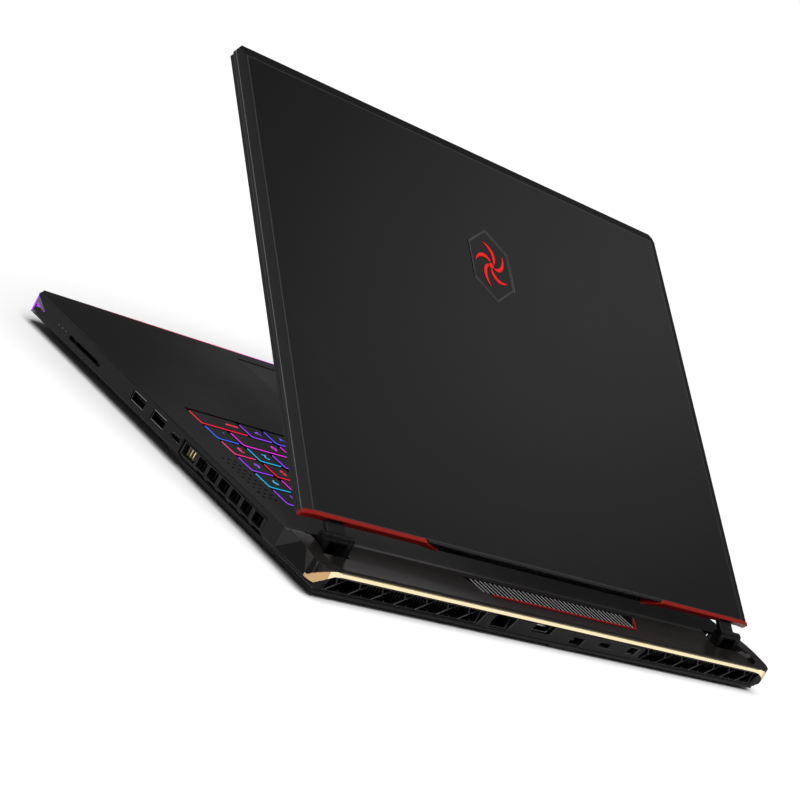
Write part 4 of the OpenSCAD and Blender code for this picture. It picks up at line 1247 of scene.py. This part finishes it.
@dataclass
class Sockets:
    """Contacts and finishes for the sockets round the base."""

    lenses: int = 3
    lens_pitch: float = 4.2
    contacts: int = 4
    contact_pitch: float = 2.27

    @staticmethod
    def rear_rim(normal: Vector, centre: Vector) -> bool:
        """The test for a rear socket's rim."""
        return normal.y > FACING and centre.y > REAR_Y - 6

    def build(self) -> None:
        """Builds folded shells, painted shade inside with a bright metal rim, and adds the
        contacts.
        """
        shells = (
            ("usb_c_sockets", "slim_socket_shells", lambda n, c: abs(c.x) > SIDE_X - 0.9
             and abs(n.x) > FACING or n.y > FACING and c.y > REAR_Y - 4),
            ("hdmi_socket", "video_socket_shell", self.rear_rim),
            ("display_socket", "small_video_socket_shell", self.rear_rim),
            ("usb_a_sockets", "wide_socket_shells",
             lambda n, c: n.x > FACING and c.x > high("usb_a_sockets").x - 0.3),
        )
        for node, name, rim in shells:
            worked(node, name, "base", [PORT_THROAT_SHADE, PORT_METAL], 0.08, 1, pierced=True,
                   marked=rim, shortest=1.0)
        for node in ("card_reader", "network_socket", "power_inlet", "audio_jack"):
            dress_node(node, PORT_BLACK)
        self.wide_contacts()
        self.indicators()

    def indicators(self) -> None:
        """Three small indicator lenses on the right wall, ahead of the card slot."""
        front, level = low("card_reader").y, high("card_reader").z
        lens = block("lens", (SIDE_X - 0.6, front - 6, level - 1.4),
                     (SIDE_X + 0.12, front - 4.9, level - 0.6))
        inset(lens, facing(0), 0.15, -0.05)
        ease(lens, 0.12, 2)
        dress(lens, INDICATOR)
        parts = [copy_of(lens, f"lens_{i}", (0, -self.lens_pitch * i, 0))
                 for i in range(self.lenses)]
        bpy.data.objects.remove(lens)
        slotted("indicator_lenses", parts, Slot.PORT_BLACK, "base")

    def wide_contacts(self) -> None:
        """Plated contacts on the tongues of the wide sockets."""
        lowest, highest = low("usb_a_sockets"), high("usb_a_sockets")
        middle = (lowest.z + highest.z) / 2
        strips = []
        for centre in (lowest.y + 6.6, highest.y - 6.6):
            for i in range(self.contacts):
                y = centre - 3.4 + i * self.contact_pitch
                strip = block("strip", (highest.x - 9, y - 0.4, middle + 0.05),
                              (highest.x - 1.8, y + 0.4, middle + 0.25))
                ease(strip, 0.08, 1)
                dress(strip, CONTACT)
                strips.append(strip)
        hand_over(joined("wide_socket_contacts", strips), "base")


@dataclass
class Insides:
    """What shows through the vents: boards, pipes, fins, fans and the battery."""

    bright_end: float = 38.6

    FINISHES = {
        "motherboard": BOARD, "memory_modules": BOARD, "wireless_card": BOARD,
        "storage_drive": DRIVE, "heat_pipes": COPPER, "battery": WRAP, "bottom_screws": SCREW,
    }
    PAIRED = {"fan_housing": FAN, "fan_rotor": FAN, "speaker": PORT_BLACK,
              "hinge_base": HINGE_FINISH}

    def build(self) -> None:
        """Dresses the carried-over nodes and builds the fins and feet."""
        for node, finish in self.FINISHES.items():
            dress_node(node, finish)
        for side in SIDES:
            for kind, finish in self.PAIRED.items():
                dress_node(f"{kind}_{side}", finish)
            stack = traced(f"fin_stack_{side}", f"fins_{side}", pierced=True)
            dress(stack, FINS_SHADE, FINS)
            # fins near the first side-vent cell keep the gold; the rest take painted shade
            dress_faces(stack, 1, lambda n, c: abs(c.x) > SIDE_X - 16 and c.y < self.bright_end)
            hand_over(stack, "base", f"fin_stack_{side}")
        worked("rubber_feet", "feet_pads", "base", [RUBBER], 0.6, 3, shade=60)


# ---- studio ----

@dataclass
class Studio:
    """Plain pale floor, soft lights and the camera."""

    camera_at: Point = (0.8441, 0.7894, 0.2788)
    right: Point = (-0.68737, 0.55348, 0.4703)
    down: Point = (-0.22819, 0.45017, -0.8633)
    ahead: Point = (-0.68953, -0.70072, -0.18314)
    focal: float = 2024.7
    centre: tuple[float, float] = (375.5, 376.9)
    sensor: float = 36.0
    sky: float = 0.1
    sun_power: float = 3.6
    sun_angle: float = 60.0
    sun_tilt: tuple[float, float] = (-20.0, 13.0)

    def build(self) -> None:
        """Sets the camera, the floor and the lights."""
        self.camera()
        self.floor()
        self.lights()
        view = bpy.context.scene.view_settings
        view.view_transform = "Standard"
        view.look = "None"

    def camera(self) -> None:
        """The camera, with a shift that keeps the subject's place in the frame."""
        data = bpy.data.cameras.new("camera")
        data.sensor_width = self.sensor
        data.lens = self.focal / PICTURE_SIDE * self.sensor
        data.shift_x = (PICTURE_SIDE / 2 - self.centre[0]) / PICTURE_SIDE
        data.shift_y = (self.centre[1] - PICTURE_SIDE / 2) / PICTURE_SIDE
        data.clip_end = 1000.0
        obj = placed("camera", data)
        turn = Matrix((self.right, [-c for c in self.down], [-c for c in self.ahead])).transposed()
        obj.matrix_world = Matrix.Translation(self.camera_at) @ turn.to_4x4()
        bpy.context.scene.camera = obj

    def floor(self) -> None:
        """A wide pale floor."""
        pick()
        bpy.ops.mesh.primitive_plane_add(size=600.0, location=(0, 0, 0))
        obj = bpy.context.object
        obj.name = "floor"
        made = bpy.data.materials.new("Floor pale")
        made.use_nodes = True
        s = Sheet(made.node_tree)
        shader = made.node_tree.nodes["Principled BSDF"]
        s.feed(shader, "Base Color", s.blend(s.noise(s.place(), 1.5, 2.0),
                                             (0.90, 0.90, 0.90, 1), (0.92, 0.92, 0.92, 1)))
        shader.inputs["Roughness"].default_value = 0.9
        shader.inputs["Specular IOR Level"].default_value = 0.0
        obj.data.materials.append(made)

    def lights(self) -> None:
        """An even sky, a wide soft sun, a softbox for the lid and one in front for the deck."""
        world = bpy.data.worlds.new("studio")
        bpy.context.scene.world = world
        world.use_nodes = True
        s = Sheet(world.node_tree)
        sky = world.node_tree.nodes["Background"]
        path = s.node("ShaderNodeLightPath")
        sky.inputs["Color"].default_value = (1, 1, 1, 1)
        s.feed(sky, "Strength", s.maths("MULTIPLY_ADD", path.outputs["Is Camera Ray"],
                                        1 - self.sky, self.sky))
        sun = bpy.data.lights.new("sun", "SUN")
        sun.energy = self.sun_power
        sun.angle = math.radians(self.sun_angle)
        placed("sun", sun).rotation_euler = (*map(math.radians, self.sun_tilt), 0)
        self.softbox("left box", (-1.75, -0.05, 1.75), (0.0, 0.0, 0.1), 0.8, 1.5)
        self.softbox("deck box", (-0.42, -0.50, 0.19), (0.05, 0.12, 0.02), 0.32, 0.08)

    def softbox(self, name: str, at: Point, to: Point, size: float, power: float) -> None:
        """A square soft light.

        Args:
            name: the light's name.
            at: where it stands, in metres.
            to: where it points, in metres.
            size: side of the square, in metres.
            power: its power in watts.
        """
        data = bpy.data.lights.new(name, "AREA")
        data.size = size
        data.energy = power
        obj = placed(name, data)
        way = Vector(to) - Vector(at)
        turn = way.to_track_quat("-Z", "Y").to_matrix().to_4x4()
        obj.matrix_world = Matrix.Translation(at) @ turn
        obj.visible_camera = False


def main() -> None:
    """Builds every sub-assembly in order."""
    logging.basicConfig(level=logging.INFO, format="%(name)s: %(message)s")
    for part in (BaseShell(), Grilles(), Keyboard(), FrontLights(), Touchpad(), Lid(),
                 Sockets(), Insides()):
        log.info("building %s", type(part).__name__)
        part.build()
    Studio().build()


if __name__ == "__main__":
    main()
